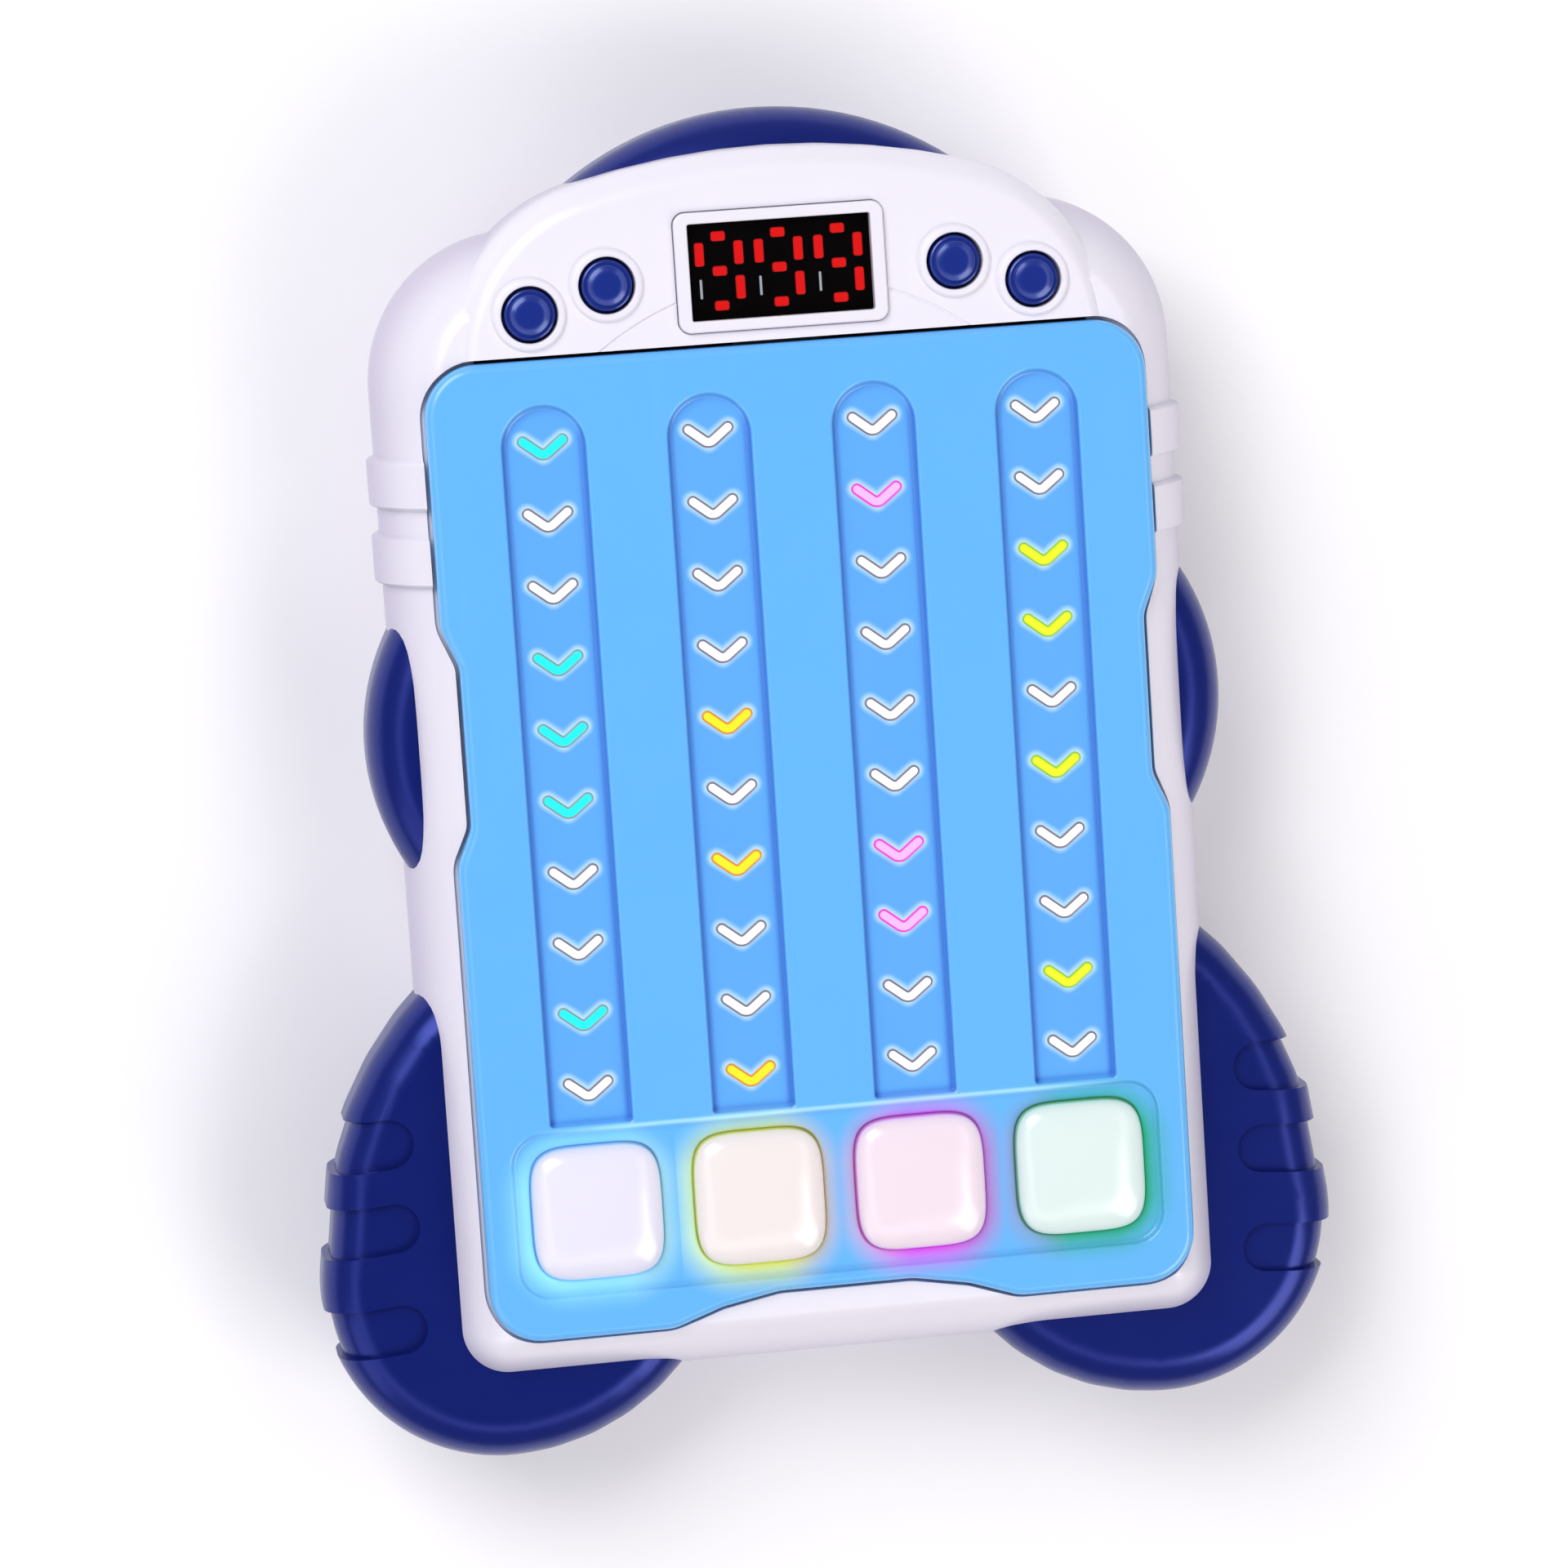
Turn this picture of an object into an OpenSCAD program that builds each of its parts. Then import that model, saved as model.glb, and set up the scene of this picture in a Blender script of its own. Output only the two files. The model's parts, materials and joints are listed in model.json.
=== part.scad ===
// Finger rhythm game: four lit lanes, four big keys, a score display and four small buttons.
// It lies on its back. Lengths are in millimetres, +Z points out of the face, +Y to the display.

/* [Light grid] */
// Distance between lanes, centre to centre
lane_pitch = 26; // [22:0.5:32]
// Distance between arrow rows
row_pitch = 11.3; // [9.4:0.1:13.6]
// Number of arrow rows in a lane
rows = 10; // [6:1:10]
// Width of a lane groove
lane_w = 13; // [11:0.5:15]
// Depth of a lane groove
lane_depth = 1.5; // [0.8:0.1:1.8]
// Width of an arrow
arrow_w = 8.1; // [6:0.1:9]
// Height of an arrow
arrow_h = 4.0; // [3.2:0.1:5]
// Width of an arrow's stroke
arrow_stroke = 1.7; // [1.2:0.1:2]

/* [Body] */
// Face plate beyond the outer lanes, each side
plate_side = 18; // [17:0.5:22]
// How far the body swells out beyond the face plate, each side
side_swell = 7.2; // [6.5:0.1:9]
// Room in the rear housing's depth beyond a cell's diameter
bay_room = 5.6; // [5.4:0.1:9]
// Depth of the front housing
front_depth = 18; // [17:0.1:22]
// Wall of the two housings
wall = 2.2; // [1.6:0.1:2.6]
// Thickness of the face plate at its edge
plate_t = 3.5; // [3.2:0.1:4.5]
// How far the face plate stands out of the housing
plate_rise = 1.8; // [1.2:0.1:2.4]

/* [Keys and buttons] */
// Gap between neighbouring keys
key_gap = 5.4; // [5:0.1:8]
// Length of a key
key_l = 21.3; // [18:0.1:22]
// Height of a key's crown above the face plate
key_crown = 2.5; // [1.5:0.1:4]
// Travel of a key
key_travel = 2.2; // [1.8:0.1:2.6]
// Diameter of a small button
button_d = 7.9; // [6:0.1:8.4]
// Travel of a small button
button_travel = 1.2; // [0.6:0.1:1.4]

/* [Display] */
// Width of the display window
window_w = 28.8; // [26:0.1:30]
// Height of the display window
window_h = 15.1; // [13:0.1:16]
// Height of a digit between its end bars
digit_h = 10.8; // [8:0.1:11]

/* [Side pads and feet] */
// Radius of a foot's outer corner
foot_r = 28.8; // [26:0.1:32]
// Radius of a side pad
pad_r = 37.6; // [34:0.1:40]
// How far a side pad stands out of the body
pad_out = 4.9; // [3:0.1:6]
// Radius of the crown piece behind the dome
crown_r = 52.7; // [50:0.1:56]

/* [Battery bay] */
// Diameter of a cell
cell_d = 14.2; // [13.8:0.1:17.1]
// Length of a cell with its tip
cell_l = 50.3; // [48:0.1:51]

/* [Hidden] */
lanes = 4;
side_ids = ["left", "right"];

thin = 0.01;        // slice thickness inside a hull
cut = 1;            // overshoot of a cutting solid
slide_gap = 0.3;    // gap round a key, a button or the door
seat_gap = 0.15;    // gap round a piece that is fixed in its seat
$fn = 40;

// levels, from the table up
feet_h = 1.2;
back_z = feet_h;
rear_depth = cell_d + bay_room;
part_z = back_z + rear_depth;
face_z = part_z + front_depth;
plate_top = face_z + plate_rise;
plate_z = plate_top - plate_t;
shelf_z = plate_z - wall;
dome_z = face_z + 1;
floor_z = back_z + wall;
key_z = plate_z - 1.5;
under_key = 2.2;
board_t = 1.6;
board_top = key_z - key_travel - under_key;
board_z = board_top - board_t;
tongue_t = 2;
tongue_z = part_z - tongue_t / 2;

// the grid: the top row of arrows is at y = grid_y
grid_w = (lanes - 1) * lane_pitch;
plate_hw = grid_w / 2 + plate_side;
body_hw = plate_hw + side_swell;
key_row = -(rows - 1) * row_pitch - 19.7;
plate_hi = 13.6;
plate_lo = key_row - 20.2;
body_lo = plate_lo - 9.4;
dome_arc_r = 117;
dome_corner_r = 29;
dome_top = plate_hi + 31.1;
crown_y = dome_top + 5.4 - crown_r;
foot_corner = [body_hw - 10.2, body_lo + 16.5];
foot_lo = foot_corner.y - foot_r;
grid_y = -(crown_y + crown_r + foot_lo) / 2;

// outline circles: [x, y, radius]
shoulder_r = 24;
corner_r = 10.5;
body_corners = [for (s = [-1, 1]) each [
  [s * (body_hw - shoulder_r), plate_hi - 4.1, shoulder_r],
  [s * (body_hw - corner_r), body_lo + corner_r, corner_r]]];
dome_corners = [for (a = [-15.5:7.75:15.5]) let (r = dome_arc_r - dome_corner_r)
  [r * sin(a), dome_top - dome_arc_r + r * cos(a), dome_corner_r]];
foot_discs = concat(
  [[foot_corner.x, foot_corner.y, foot_r]],
  [for (a = [25, 50]) [foot_corner.x + 28.6 - 62 + 38 * cos(a), foot_corner.y + 3.5 + 38 * sin(a), 24]],
  [for (a = [-90, -125, -160]) [foot_corner.x + 18 * cos(a), foot_lo + 38 + 18 * sin(a), 20]]);

front_round = 8.6;
rear_round = 10;
dome_round = 6.5;
pad_lo_z = part_z - 10;
pad_hi_z = face_z - 7.4;
pad_round = 7.5;
band_rise = 1.2;
band_ys = [-8.6, -20.7];
band_w = 7.5;

// keys
key_w = lane_pitch - key_gap;
flange_t = 1.4;
flange_out = 1.2;
well_hw = grid_w / 2 + key_w / 2 + 2.7;
well_hi = key_row + 13.2;
well_lo = key_row - 13.3;
well_depth = 1.2;
window_lo = key_row - key_l / 2 - flange_out - 0.6;

// small buttons
button_spots = [[-39.7, 20.7], [-27.4, 24.4], [27.4, 24.4], [39.7, 20.7]];
collar_r = 5.3;
cap_z = dome_z - wall - 0.4;

// display
display_y = 25.35;
bezel_edge = 2.1;
digit_pitch = 9.4;
digit_w = 6.2;
segment_t = 1.5;

// fasteners
screw_r = 1.4;
free_posts = [for (s = [-1, 1]) [s * (body_hw - 9.2), plate_hi - 9.6]];
side_post = [body_hw - 9.2, plate_hi - 89.6];
foot_post = [max(foot_corner.x - 20, 1.5 * cell_d + 9.2), plate_lo + 4.7];
tongue_posts = concat([[0, dome_top - wall - 4]],
  [for (s = [-1, 1]) each [[s * side_post.x, side_post.y], [s * foot_post.x, foot_post.y]]]);
post_r = 3.2;
rear_post_r = 4.2;
head_r = 3;
head_z = 11;
board_posts = [for (x = [-1, 0, 1], y = [1.8, 8]) [x * lane_pitch, -y * row_pitch]];
display_posts = [for (x = [-33.4, 33.4], y = [17, 31]) [x, y]];

// battery bay
bay_hw = 1.5 * cell_d + 1.9;
bay_lo = body_lo + 12.5;
bay_hi = bay_lo + cell_l + 6.2;
bay_top = floor_z + cell_d + 1;
bay_wall = 1.8;
door_t = 2;
door_hw = bay_hw + 2.8;
rail_w = 1.5;
door_lo = body_lo + rear_round;
door_hi = bay_hi + 2;

// speaker
speaker_y = -24;
speaker_r = 20;
rim_t = 2;
grille_r = 1.4;
speaker_posts = [for (a = [90, 210, 330]) [23.4 * cos(a), speaker_y + 23.4 * sin(a)]];

// rubber feet and plate pegs
rubber_spots = [for (x = [-44, 44], y = [plate_hi - 14, body_lo + 26]) [x, y]];
peg_ys = [plate_hi - 22, plate_hi - 30, plate_hi - 90, plate_lo + 24];

function front_in(z) = front_round * pow((z - part_z) / front_depth, 2);
function rear_in(z) = rear_round * pow((part_z - z) / rear_depth, 3);
function dome_in(z) = dome_round * pow((z - part_z) / (dome_z - part_z), 5);

// ---- shared shapes ----

module placed() { translate([0, grid_y, 0]) children(); }

module block(x0, x1, y0, y1, z0, z1) {
  translate([x0, y0, z0]) cube([x1 - x0, y1 - y0, z1 - z0]);
}

module slab(hw, y0, y1, z0, z1) { block(-hw, hw, y0, y1, z0, z1); }

module peg(p, r, z0, z1) { translate([p.x, p.y, z0]) cylinder(h = z1 - z0, r = r); }

module rounded_2d(x0, x1, y0, y1, r) {
  translate([x0 + r, y0]) square([x1 - x0 - 2 * r, y1 - y0]);
  translate([x0, y0 + r]) square([x1 - x0, y1 - y0 - 2 * r]);
  for (x = [x0 + r, x1 - r], y = [y0 + r, y1 - r]) translate([x, y]) circle(r);
}

module bar_2d(a, b, w) {
  d = b - a;
  for (p = [a, b]) translate(p) circle(d = w);
  translate(a) rotate(atan2(d.y, d.x)) translate([0, -w / 2]) square([norm(d), w]);
}

// one hull round circles whose edge moves in by levels[i][1] at height levels[i][0]
module swept(circles, levels) {
  hull() for (lv = levels, c = circles)
    translate([c.x, c.y, lv[0]]) cylinder(h = thin, r = max(c[2] - lv[1], 0.6));
}

module front_swept(circles, in, z1, past = 0) {
  swept(circles, concat([[part_z - past, in]], [for (t = [0.3, 0.55, 0.8, 1])
    let (z = part_z + (z1 - part_z) * t) [z - thin * t, front_in(z) + in]]));
}

module rear_swept(circles, in, z0, past = 0) {
  swept(circles, concat([[part_z - thin + past, in]], [for (t = [0.25, 0.5, 0.75, 1])
    let (z = part_z + (z0 - part_z) * t) [z - thin * (1 - t), rear_in(z) + in]]));
}

module dome_swept(in, z1, past = 0) {
  swept(dome_corners, concat([[part_z - past, in]], [for (t = [0.55, 0.75, 0.88, 0.96, 1])
    let (z = part_z + (z1 - part_z) * t) [z - thin * t, dome_in(z) + in]]));
}

module rim_2d(r, z0, z1, round) {
  translate([0, z0]) square([r - round, z1 - z0]);
  for (z = [z0 + round, z1 - round]) translate([r - round, z]) circle(round);
  translate([0, z0 + round]) square([r, z1 - z0 - 2 * round]);
}

module disc(x, y, r, grow = 0) {
  translate([x, y, 0]) rotate_extrude() rim_2d(r + grow, pad_lo_z - grow, pad_hi_z + grow, pad_round);
}

module side_disc(s, grow = 0) { disc(s * (body_hw + pad_out - pad_r), plate_hi - 60.6, pad_r, grow); }

module crown_disc() { disc(0, crown_y, crown_r); }

// a foot's rounded slab, smaller all round by in
module foot_form(s, in = 0) {
  swept([for (c = foot_discs) [s * c.x, c.y, c[2]]],
    [for (e = [-1, 1], a = [0, 30, 60, 90])
      [(e < 0 ? pad_lo_z + pad_round : pad_hi_z - pad_round) + e * (pad_round - in) * sin(a),
       in + (pad_round - in) * (1 - cos(a))]]);
}

// the inside of the body, where side pads and feet end
module body_core(gap = 0) {
  slab(body_hw - 4.7 - gap, body_lo + 4 + gap, plate_hi, 0, 60);
}

module crown_core(gap = 0) { peg([0, dome_top - dome_arc_r], dome_arc_r - wall - 1.2 - gap, 0, 60); }

// openings in the housings for the side pads, the feet and the crown piece
module pad_openings() {
  difference() {
    union() {
      for (s = [-1, 1]) { side_disc(s, seat_gap); foot_form(s, -seat_gap); }
    }
    body_core(seat_gap);
  }
  difference() {
    peg([0, crown_y], crown_r + seat_gap, pad_lo_z - seat_gap, pad_hi_z + seat_gap);
    crown_core(seat_gap);
  }
}

module band_zones() {
  for (y = band_ys) block(-100, 100, y, y + band_w, 0, 100);
}

module plate_2d(g = 0) {
  difference() {
    rounded_2d(-plate_hw - g, plate_hw + g, plate_lo - g, plate_hi + g, 8.3 + g);
    for (s = [-1, 1]) polygon([for (p = [[2, 36], [-2.5, 47], [-2.5, 72.4], [2, 83]])
      [s * (plate_hw + p.x + g), plate_hi - p.y]]);
    polygon([for (p = [[-34, -2], [-28, 0], [-20, 2.8], [-10.8, 4.5], [10.8, 4.5], [20, 2.8], [28, 0], [34, -2]])
      [p.x, plate_lo + p.y - g]]);
  }
}

module key_2d(g = 0) {
  rounded_2d(-key_w / 2 - g, key_w / 2 + g, -key_l / 2 - g, key_l / 2 + g, 6.4);
}

module arrow_2d(g = 0) {
  x = (arrow_w - arrow_stroke) / 2;
  y = (arrow_h - arrow_stroke) / 2;
  for (s = [-1, 1]) bar_2d([0, -y], [s * x, y], arrow_stroke + 2 * g);
}

module arrow_rows(g = 0) { for (r = [0:rows - 1]) translate([0, -r * row_pitch]) arrow_2d(g); }

function lane_x(i) = (i - (lanes + 1) / 2) * lane_pitch;

module display_box(hw_add, h_add, z0, z1) {
  slab(window_w / 2 + hw_add, display_y - window_h / 2 - h_add, display_y + window_h / 2 + h_add, z0, z1);
}

module screw(p, head_at, tip, r = screw_r, hr = 2.7) {
  difference() {
    union() { peg(p, hr, head_at, head_at + 1.8); peg(p, r - 0.05, head_at, tip); }
    translate([p.x, p.y, head_at]) for (a = [0, 90]) rotate(a) cube([hr * 1.2, 0.7, 1.6], center = true);
  }
}

// ---- casing ----

module front_housing() color([0.95, 0.94, 0.98]) {
  difference() {
    union() {
      front_swept(body_corners, 0, face_z);
      dome_swept(0, dome_z);
      intersection() { front_swept(body_corners, -band_rise, face_z - 1.5); band_zones(); }
      for (p = button_spots) peg(p, collar_r, dome_z - 1, dome_z + 0.8);
    }
    difference() {
      union() {
        front_swept(body_corners, wall, shelf_z, cut);
        dome_swept(wall, dome_z - wall, cut);
      }
      for (p = free_posts) peg(p, post_r, part_z - 2 * cut, face_z);
      for (p = tongue_posts) peg(p, post_r, tongue_z + tongue_t, face_z);
      for (p = display_posts) peg(p, 1.9, board_top, face_z);
      slab(body_hw, plate_hi - 2, plate_hi + 1.2, shelf_z, face_z);
    }
    pad_openings();
    translate([0, 0, plate_z]) linear_extrude(20) plate_2d(0.35);
    slab(well_hw + 0.3, window_lo, plate_hi - 4.6, shelf_z - cut, face_z);
    for (p = button_spots) peg(p, button_d / 2 + slide_gap, dome_z - 5, dome_z + 5);
    display_box(0.4, 0.4, dome_z - 5, dome_z + 5);
    display_box(bezel_edge + seat_gap, bezel_edge - 0.3 + seat_gap, dome_z - 1, dome_z + 5);
    difference() {
      peg([0, display_y - 50.55], 49.25, dome_z - 0.3, dome_z + cut);
      peg([0, display_y - 50.55], 48.75, dome_z - cut, dome_z + 2 * cut);
    }
    for (p = free_posts) peg(p, screw_r, part_z - cut, part_z + 11);
    for (p = tongue_posts) peg(p, screw_r, part_z, part_z + 11);
    for (p = display_posts) peg(p, 1, board_top - cut, board_top + 3.5);
    plate_pegs(seat_gap);
  }
}

module rear_housing() color([0.93, 0.91, 0.95]) {
  difference() {
    union() {
      rear_swept(body_corners, 0, back_z);
      rear_swept(dome_corners, 0, back_z);
      intersection() { rear_swept(body_corners, -band_rise, back_z + 2); band_zones(); }
    }
    difference() {
      union() {
        rear_swept(body_corners, wall, floor_z, cut);
        rear_swept(dome_corners, wall, floor_z, cut);
      }
      for (p = free_posts) peg(p, rear_post_r, 0, part_z + 2 * cut);
      for (p = tongue_posts) peg(p, rear_post_r, 0, tongue_z);
      slab(bay_hw + bay_wall, bay_lo - bay_wall, bay_hi + bay_wall, 0, bay_top + bay_wall);
      slab(door_hw + rail_w + 2, bay_lo - bay_wall, door_hi + 2, 0, floor_z + 1.8);
      difference() {
        peg([0, speaker_y], speaker_r + 2, 0, floor_z + rim_t);
        peg([0, speaker_y], speaker_r + seat_gap, 0, floor_z + 5);
      }
      for (p = speaker_posts) peg(p, 2.6, 0, floor_z + rim_t);
    }
    pad_openings();
    for (p = concat(free_posts, tongue_posts)) {
      peg(p, screw_r + 0.2, 0, part_z + cut);
      peg(p, head_r, -cut, head_z + 1.8);
    }
    for (p = speaker_posts) peg(p, 0.9, floor_z, floor_z + 3);
    slab(bay_hw, bay_lo, bay_hi, back_z - cut, bay_top);
    slab(door_hw + slide_gap, body_lo - cut, door_hi + slide_gap, back_z - cut, floor_z);
    slab(door_hw + rail_w + slide_gap, body_lo - cut, door_hi + slide_gap, back_z + 0.8, floor_z);
    for (p = rubber_spots) peg(p, 5 + seat_gap, -cut, back_z + 0.8);
    for (p = concat([[0, 0]], [for (a = [30:60:330]) 6 * [cos(a), sin(a)]],
      [for (a = [15:30:345]) 11.6 * [cos(a), sin(a)]])) peg([p.x, speaker_y + p.y], grille_r, 0, floor_z + cut);
  }
}

module plate_pegs(g = 0) {
  for (s = [-1, 1], y = peg_ys)
    peg([s * (plate_hw - 2.2), y], 1.1 + g, shelf_z - (g > 0 ? cut : 0.6), plate_z + 0.5);
}

module face_plate() color([0.41, 0.75, 1]) {
  mid = (plate_hi + plate_lo) / 2;
  edge = 1.1;
  difference() {
    union() {
      translate([0, 0, plate_z]) linear_extrude(plate_t - edge) plate_2d();
      translate([0, mid, plate_top - edge])
        linear_extrude(edge, scale = [1 - edge / plate_hw, 1 - 2 * edge / (plate_hi - plate_lo)], slices = 1)
          translate([0, -mid]) plate_2d();
      plate_pegs();
      for (p = board_posts) peg(p, 2, board_top, plate_z + 0.5);
    }
    for (i = [1:lanes]) translate([lane_x(i), 0, 0]) {
      block(-lane_w / 2, lane_w / 2, well_hi - 1, 0, plate_top - lane_depth, plate_top + cut);
      peg([0, 0], lane_w / 2, plate_top - lane_depth, plate_top + cut);
      translate([0, 0, plate_z - cut]) linear_extrude(plate_t + 2 * cut) arrow_rows(0.1);
      translate([0, key_row, plate_z - cut]) linear_extrude(plate_t + 2 * cut) key_2d(slide_gap);
    }
    translate([0, 0, plate_top - well_depth]) linear_extrude(plate_t)
      rounded_2d(-well_hw, well_hw, well_lo, well_hi, 5);
    for (p = board_posts) peg(p, 0.9, board_top - cut, board_top + 5);
  }
}

module display_bezel() color([0.96, 0.95, 0.99]) {
  difference() {
    translate([0, 0, dome_z - 1]) linear_extrude(2)
      rounded_2d(-window_w / 2 - bezel_edge, window_w / 2 + bezel_edge,
        display_y - window_h / 2 - bezel_edge + 0.3, display_y + window_h / 2 + bezel_edge - 0.3, 1.9);
    display_box(0, 0, dome_z - 2, dome_z + 2);
    display_box(0.8 + seat_gap, 0.8 + seat_gap, dome_z - 2, dome_z + 0.1);
  }
}

module display_window() color([0.1, 0.02, 0.03, 0.6]) display_box(0.8, 0.8, dome_z - 1, dome_z + 0.1);

module crown() color([0.08, 0.14, 0.45]) {
  difference() {
    union() {
      difference() { crown_disc(); crown_core(); }
      slab(6, tongue_posts[0].y - 3.8, dome_top - wall, tongue_z, tongue_z + tongue_t);
    }
    peg(tongue_posts[0], screw_r + 0.2, 0, 60);
  }
}

module side_pad(s) color([0.08, 0.14, 0.45]) {
  x = body_hw - 4.7;
  post = [s * side_post.x, side_post.y];
  difference() {
    union() {
      difference() { side_disc(s); body_core(); }
      block(s * (x - 4.5) - 4.7, s * (x - 4.5) + 4.7, post.y - 4, post.y + 20, tongue_z, tongue_z + tongue_t);
    }
    peg(post, screw_r + 0.2, 0, 60);
    block(-x + 2 * thin, x - 2 * thin, post.y + 11, plate_hi, 0, tongue_z - thin);
  }
}

groove_ys = [plate_hi - 124.2, plate_hi - 137.8, plate_hi - 154.3];

// tongue-shaped outlines of the three grooves that wrap a foot's rim
module groove_zones(s) {
  for (y = groove_ys) hull() for (p = [[6.5, y + 1.2], [40, y - 1.8]])
    peg([s * (body_hw + p.x), p.y], 4, -cut, 60);
}

module foot(s) color([0.08, 0.14, 0.45]) {
  post = [s * foot_post.x, foot_post.y];
  difference() {
    union() {
      difference() {
        foot_form(s);
        body_core();
        difference() {
          foot_form(s, 2.8);
          block(s * (body_hw + 20) - 25.7, s * (body_hw + 20) + 25.7, body_lo + 5, body_lo + 6.5, 0, 60);
        }
        difference() { groove_zones(s); foot_form(s, 1.1); }
      }
      block(post.x - 5, post.x + 5, body_lo + 1, post.y + 4.5, tongue_z, tongue_z + tongue_t);
    }
    peg(post, screw_r + 0.2, 0, 60);
  }
}

// ---- keys and buttons ----

module key(i) color([0.97, 0.96, 0.98, 0.9]) translate([lane_x(i), key_row, 0]) {
  top = plate_top + key_crown;
  r = 6.2;
  sides = [for (e = [-1, 1]) each [[e * (key_w / 2 - 3), 0, 3], [0, e * (key_l / 2 - 3), 3]]];
  corners = [for (x = [-1, 1], y = [-1, 1]) [x * (key_w / 2 - r - 0.5), y * (key_l / 2 - r - 0.5), r]];
  difference() {
    union() {
      swept(concat(sides, corners),
        [[key_z, 0], [top - 1.9, 0], [top - 1.2, 0.5], [top - 0.5, 2], [top - thin, 4.6]]);
      translate([0, 0, key_z]) linear_extrude(flange_t) key_2d(flange_out);
    }
    translate([0, 0, key_z - cut]) linear_extrude(plate_top - key_z) difference() {
      rounded_2d(-key_w / 2 + 2, key_w / 2 - 2, -key_l / 2 + 2, key_l / 2 - 2, 4.5);
      circle(3);
    }
  }
}

module key_dome(i) color([0.85, 0.85, 0.85]) translate([lane_x(i), key_row, board_top]) {
  cylinder(h = 0.8, r = 5.5);
  cylinder(h = key_z - board_top, r1 = 4.2, r2 = 2.6);
}

module mode_button(i) color([0.1, 0.17, 0.5]) translate(concat(button_spots[i - 1], [0])) {
  top = dome_z + 0.5 + button_travel;
  translate([0, 0, cap_z - 1.4]) cylinder(h = 1.4, r = button_d / 2 + 0.9);
  translate([0, 0, cap_z - 2.6]) cylinder(h = top - 0.8 - cap_z + 2.6, r = button_d / 2);
  translate([0, 0, top - 0.81]) cylinder(h = 0.81, r1 = button_d / 2, r2 = button_d / 2 - 0.9);
}

module button_dome(i) color([0.85, 0.85, 0.85]) translate(concat(button_spots[i - 1], [board_top])) {
  cylinder(h = 0.5, r = 3.4);
  cylinder(h = cap_z - 2.6 - board_top, r1 = 2.6, r2 = 1.8);
}

// ---- lights and boards ----

module lane_guide(i) color([0.95, 0.97, 1, 0.9]) translate([lane_x(i), 0, 0]) {
  translate([0, 0, plate_z - 1.2]) linear_extrude(1.2)
    rounded_2d(-lane_w / 2 + 1.5, lane_w / 2 - 1.5, -(rows - 1) * row_pitch - 3.6, 4.4, 2);
  translate([0, 0, plate_z - 0.5]) linear_extrude(plate_t - lane_depth + 0.55) arrow_rows();
}

module main_board() color([0.05, 0.35, 0.2]) {
  difference() {
    slab(well_hw - 0.6, window_lo + 0.6, 9, board_z, board_top);
    for (p = board_posts) peg(p, 1.1, 0, 60);
  }
}

module display_board() color([0.05, 0.35, 0.2]) {
  difference() {
    union() {
      slab(44.2, 14.6, 27, board_z, board_top);
      slab(40.2 - wall, 20, 36.6 - wall, board_z, board_top);
    }
    for (p = display_posts) peg(p, 1.1, 0, 60);
  }
}

module board_ribbon() color([0.75, 0.75, 0.78]) slab(7, 5, 19, board_z - 0.6, board_z);

module lane_leds() color([1, 1, 0.85]) {
  for (i = [1:lanes], r = [0:rows - 1]) translate([lane_x(i), -r * row_pitch, board_top + 0.8])
    cube([3.5, 2.8, 1.6], center = true);
}

module key_leds() color([1, 1, 0.85]) {
  for (i = [1:lanes], s = [-1, 1]) translate([lane_x(i) + s * (key_w / 2 - 3.6), key_row, board_top + 0.5])
    cube([2, 2.8, 1], center = true);
}

module control_chip() color([0.08, 0.08, 0.09]) slab(7, -66, -52, board_z - 1.8, board_z);

module capacitors() color([0.15, 0.2, 0.5]) {
  for (x = [16, 25]) peg([x, -48], 3, board_z - 8, board_z);
}

module display_module() color([0.06, 0.06, 0.07]) display_box(0.1, 0.1, board_top, dome_z - 1.3);

// bars of a seven-segment figure: [x, y, horizontal]
segment_spots = [[0, 1, true], [0, 0, true], [0, -1, true],
  [-1, 0.5, false], [1, 0.5, false], [-1, -0.5, false], [1, -0.5, false]];

module display_segments() color([0.9, 0.1, 0.08]) {
  for (d = [-1:1], q = segment_spots)
    translate([d * digit_pitch + q.x * digit_w / 2, display_y + q.y * digit_h / 2, dome_z - 1.22])
      cube(q[2] ? [2.6, segment_t, 0.16] : [segment_t, 3.6, 0.16], center = true);
}

// ---- sound ----

module speaker_basket() color([0.3, 0.3, 0.32]) translate([0, speaker_y, floor_z]) rotate_extrude() {
  translate([16, 0]) square([speaker_r - 16, rim_t]);
  polygon([[17.5, 0], [19, 0], [12, 7], [12, 8.5], [6, 8.5], [6, 7], [10.5, 7]]);
}

module speaker_cone() color([0.15, 0.15, 0.16]) translate([0, speaker_y, floor_z]) rotate_extrude()
  polygon([[0, 4], [6, 4], [15.8, 0.6], [15.8, 1.2], [6, 4.6], [0, 4.6]]);

module speaker_magnet() color([0.6, 0.6, 0.62]) peg([0, speaker_y], 11, floor_z + 8.5, floor_z + 13);

module speaker_screws() color([0.7, 0.7, 0.72]) {
  for (p = speaker_posts) difference() {
    union() {
      peg(p, 3.8, floor_z + rim_t, floor_z + rim_t + 1.2);
      peg(p, 0.85, floor_z + 0.6, floor_z + rim_t + 1);
    }
    translate([p.x, p.y, floor_z + rim_t + 1.2]) cube([4.4, 0.6, 1], center = true);
  }
}

module speaker_leads() color([0.8, 0.2, 0.15]) {
  for (s = [-1, 1]) peg([s * (speaker_r - 2), speaker_y], 0.6, floor_z + rim_t, board_z);
}

// ---- power ----

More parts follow.
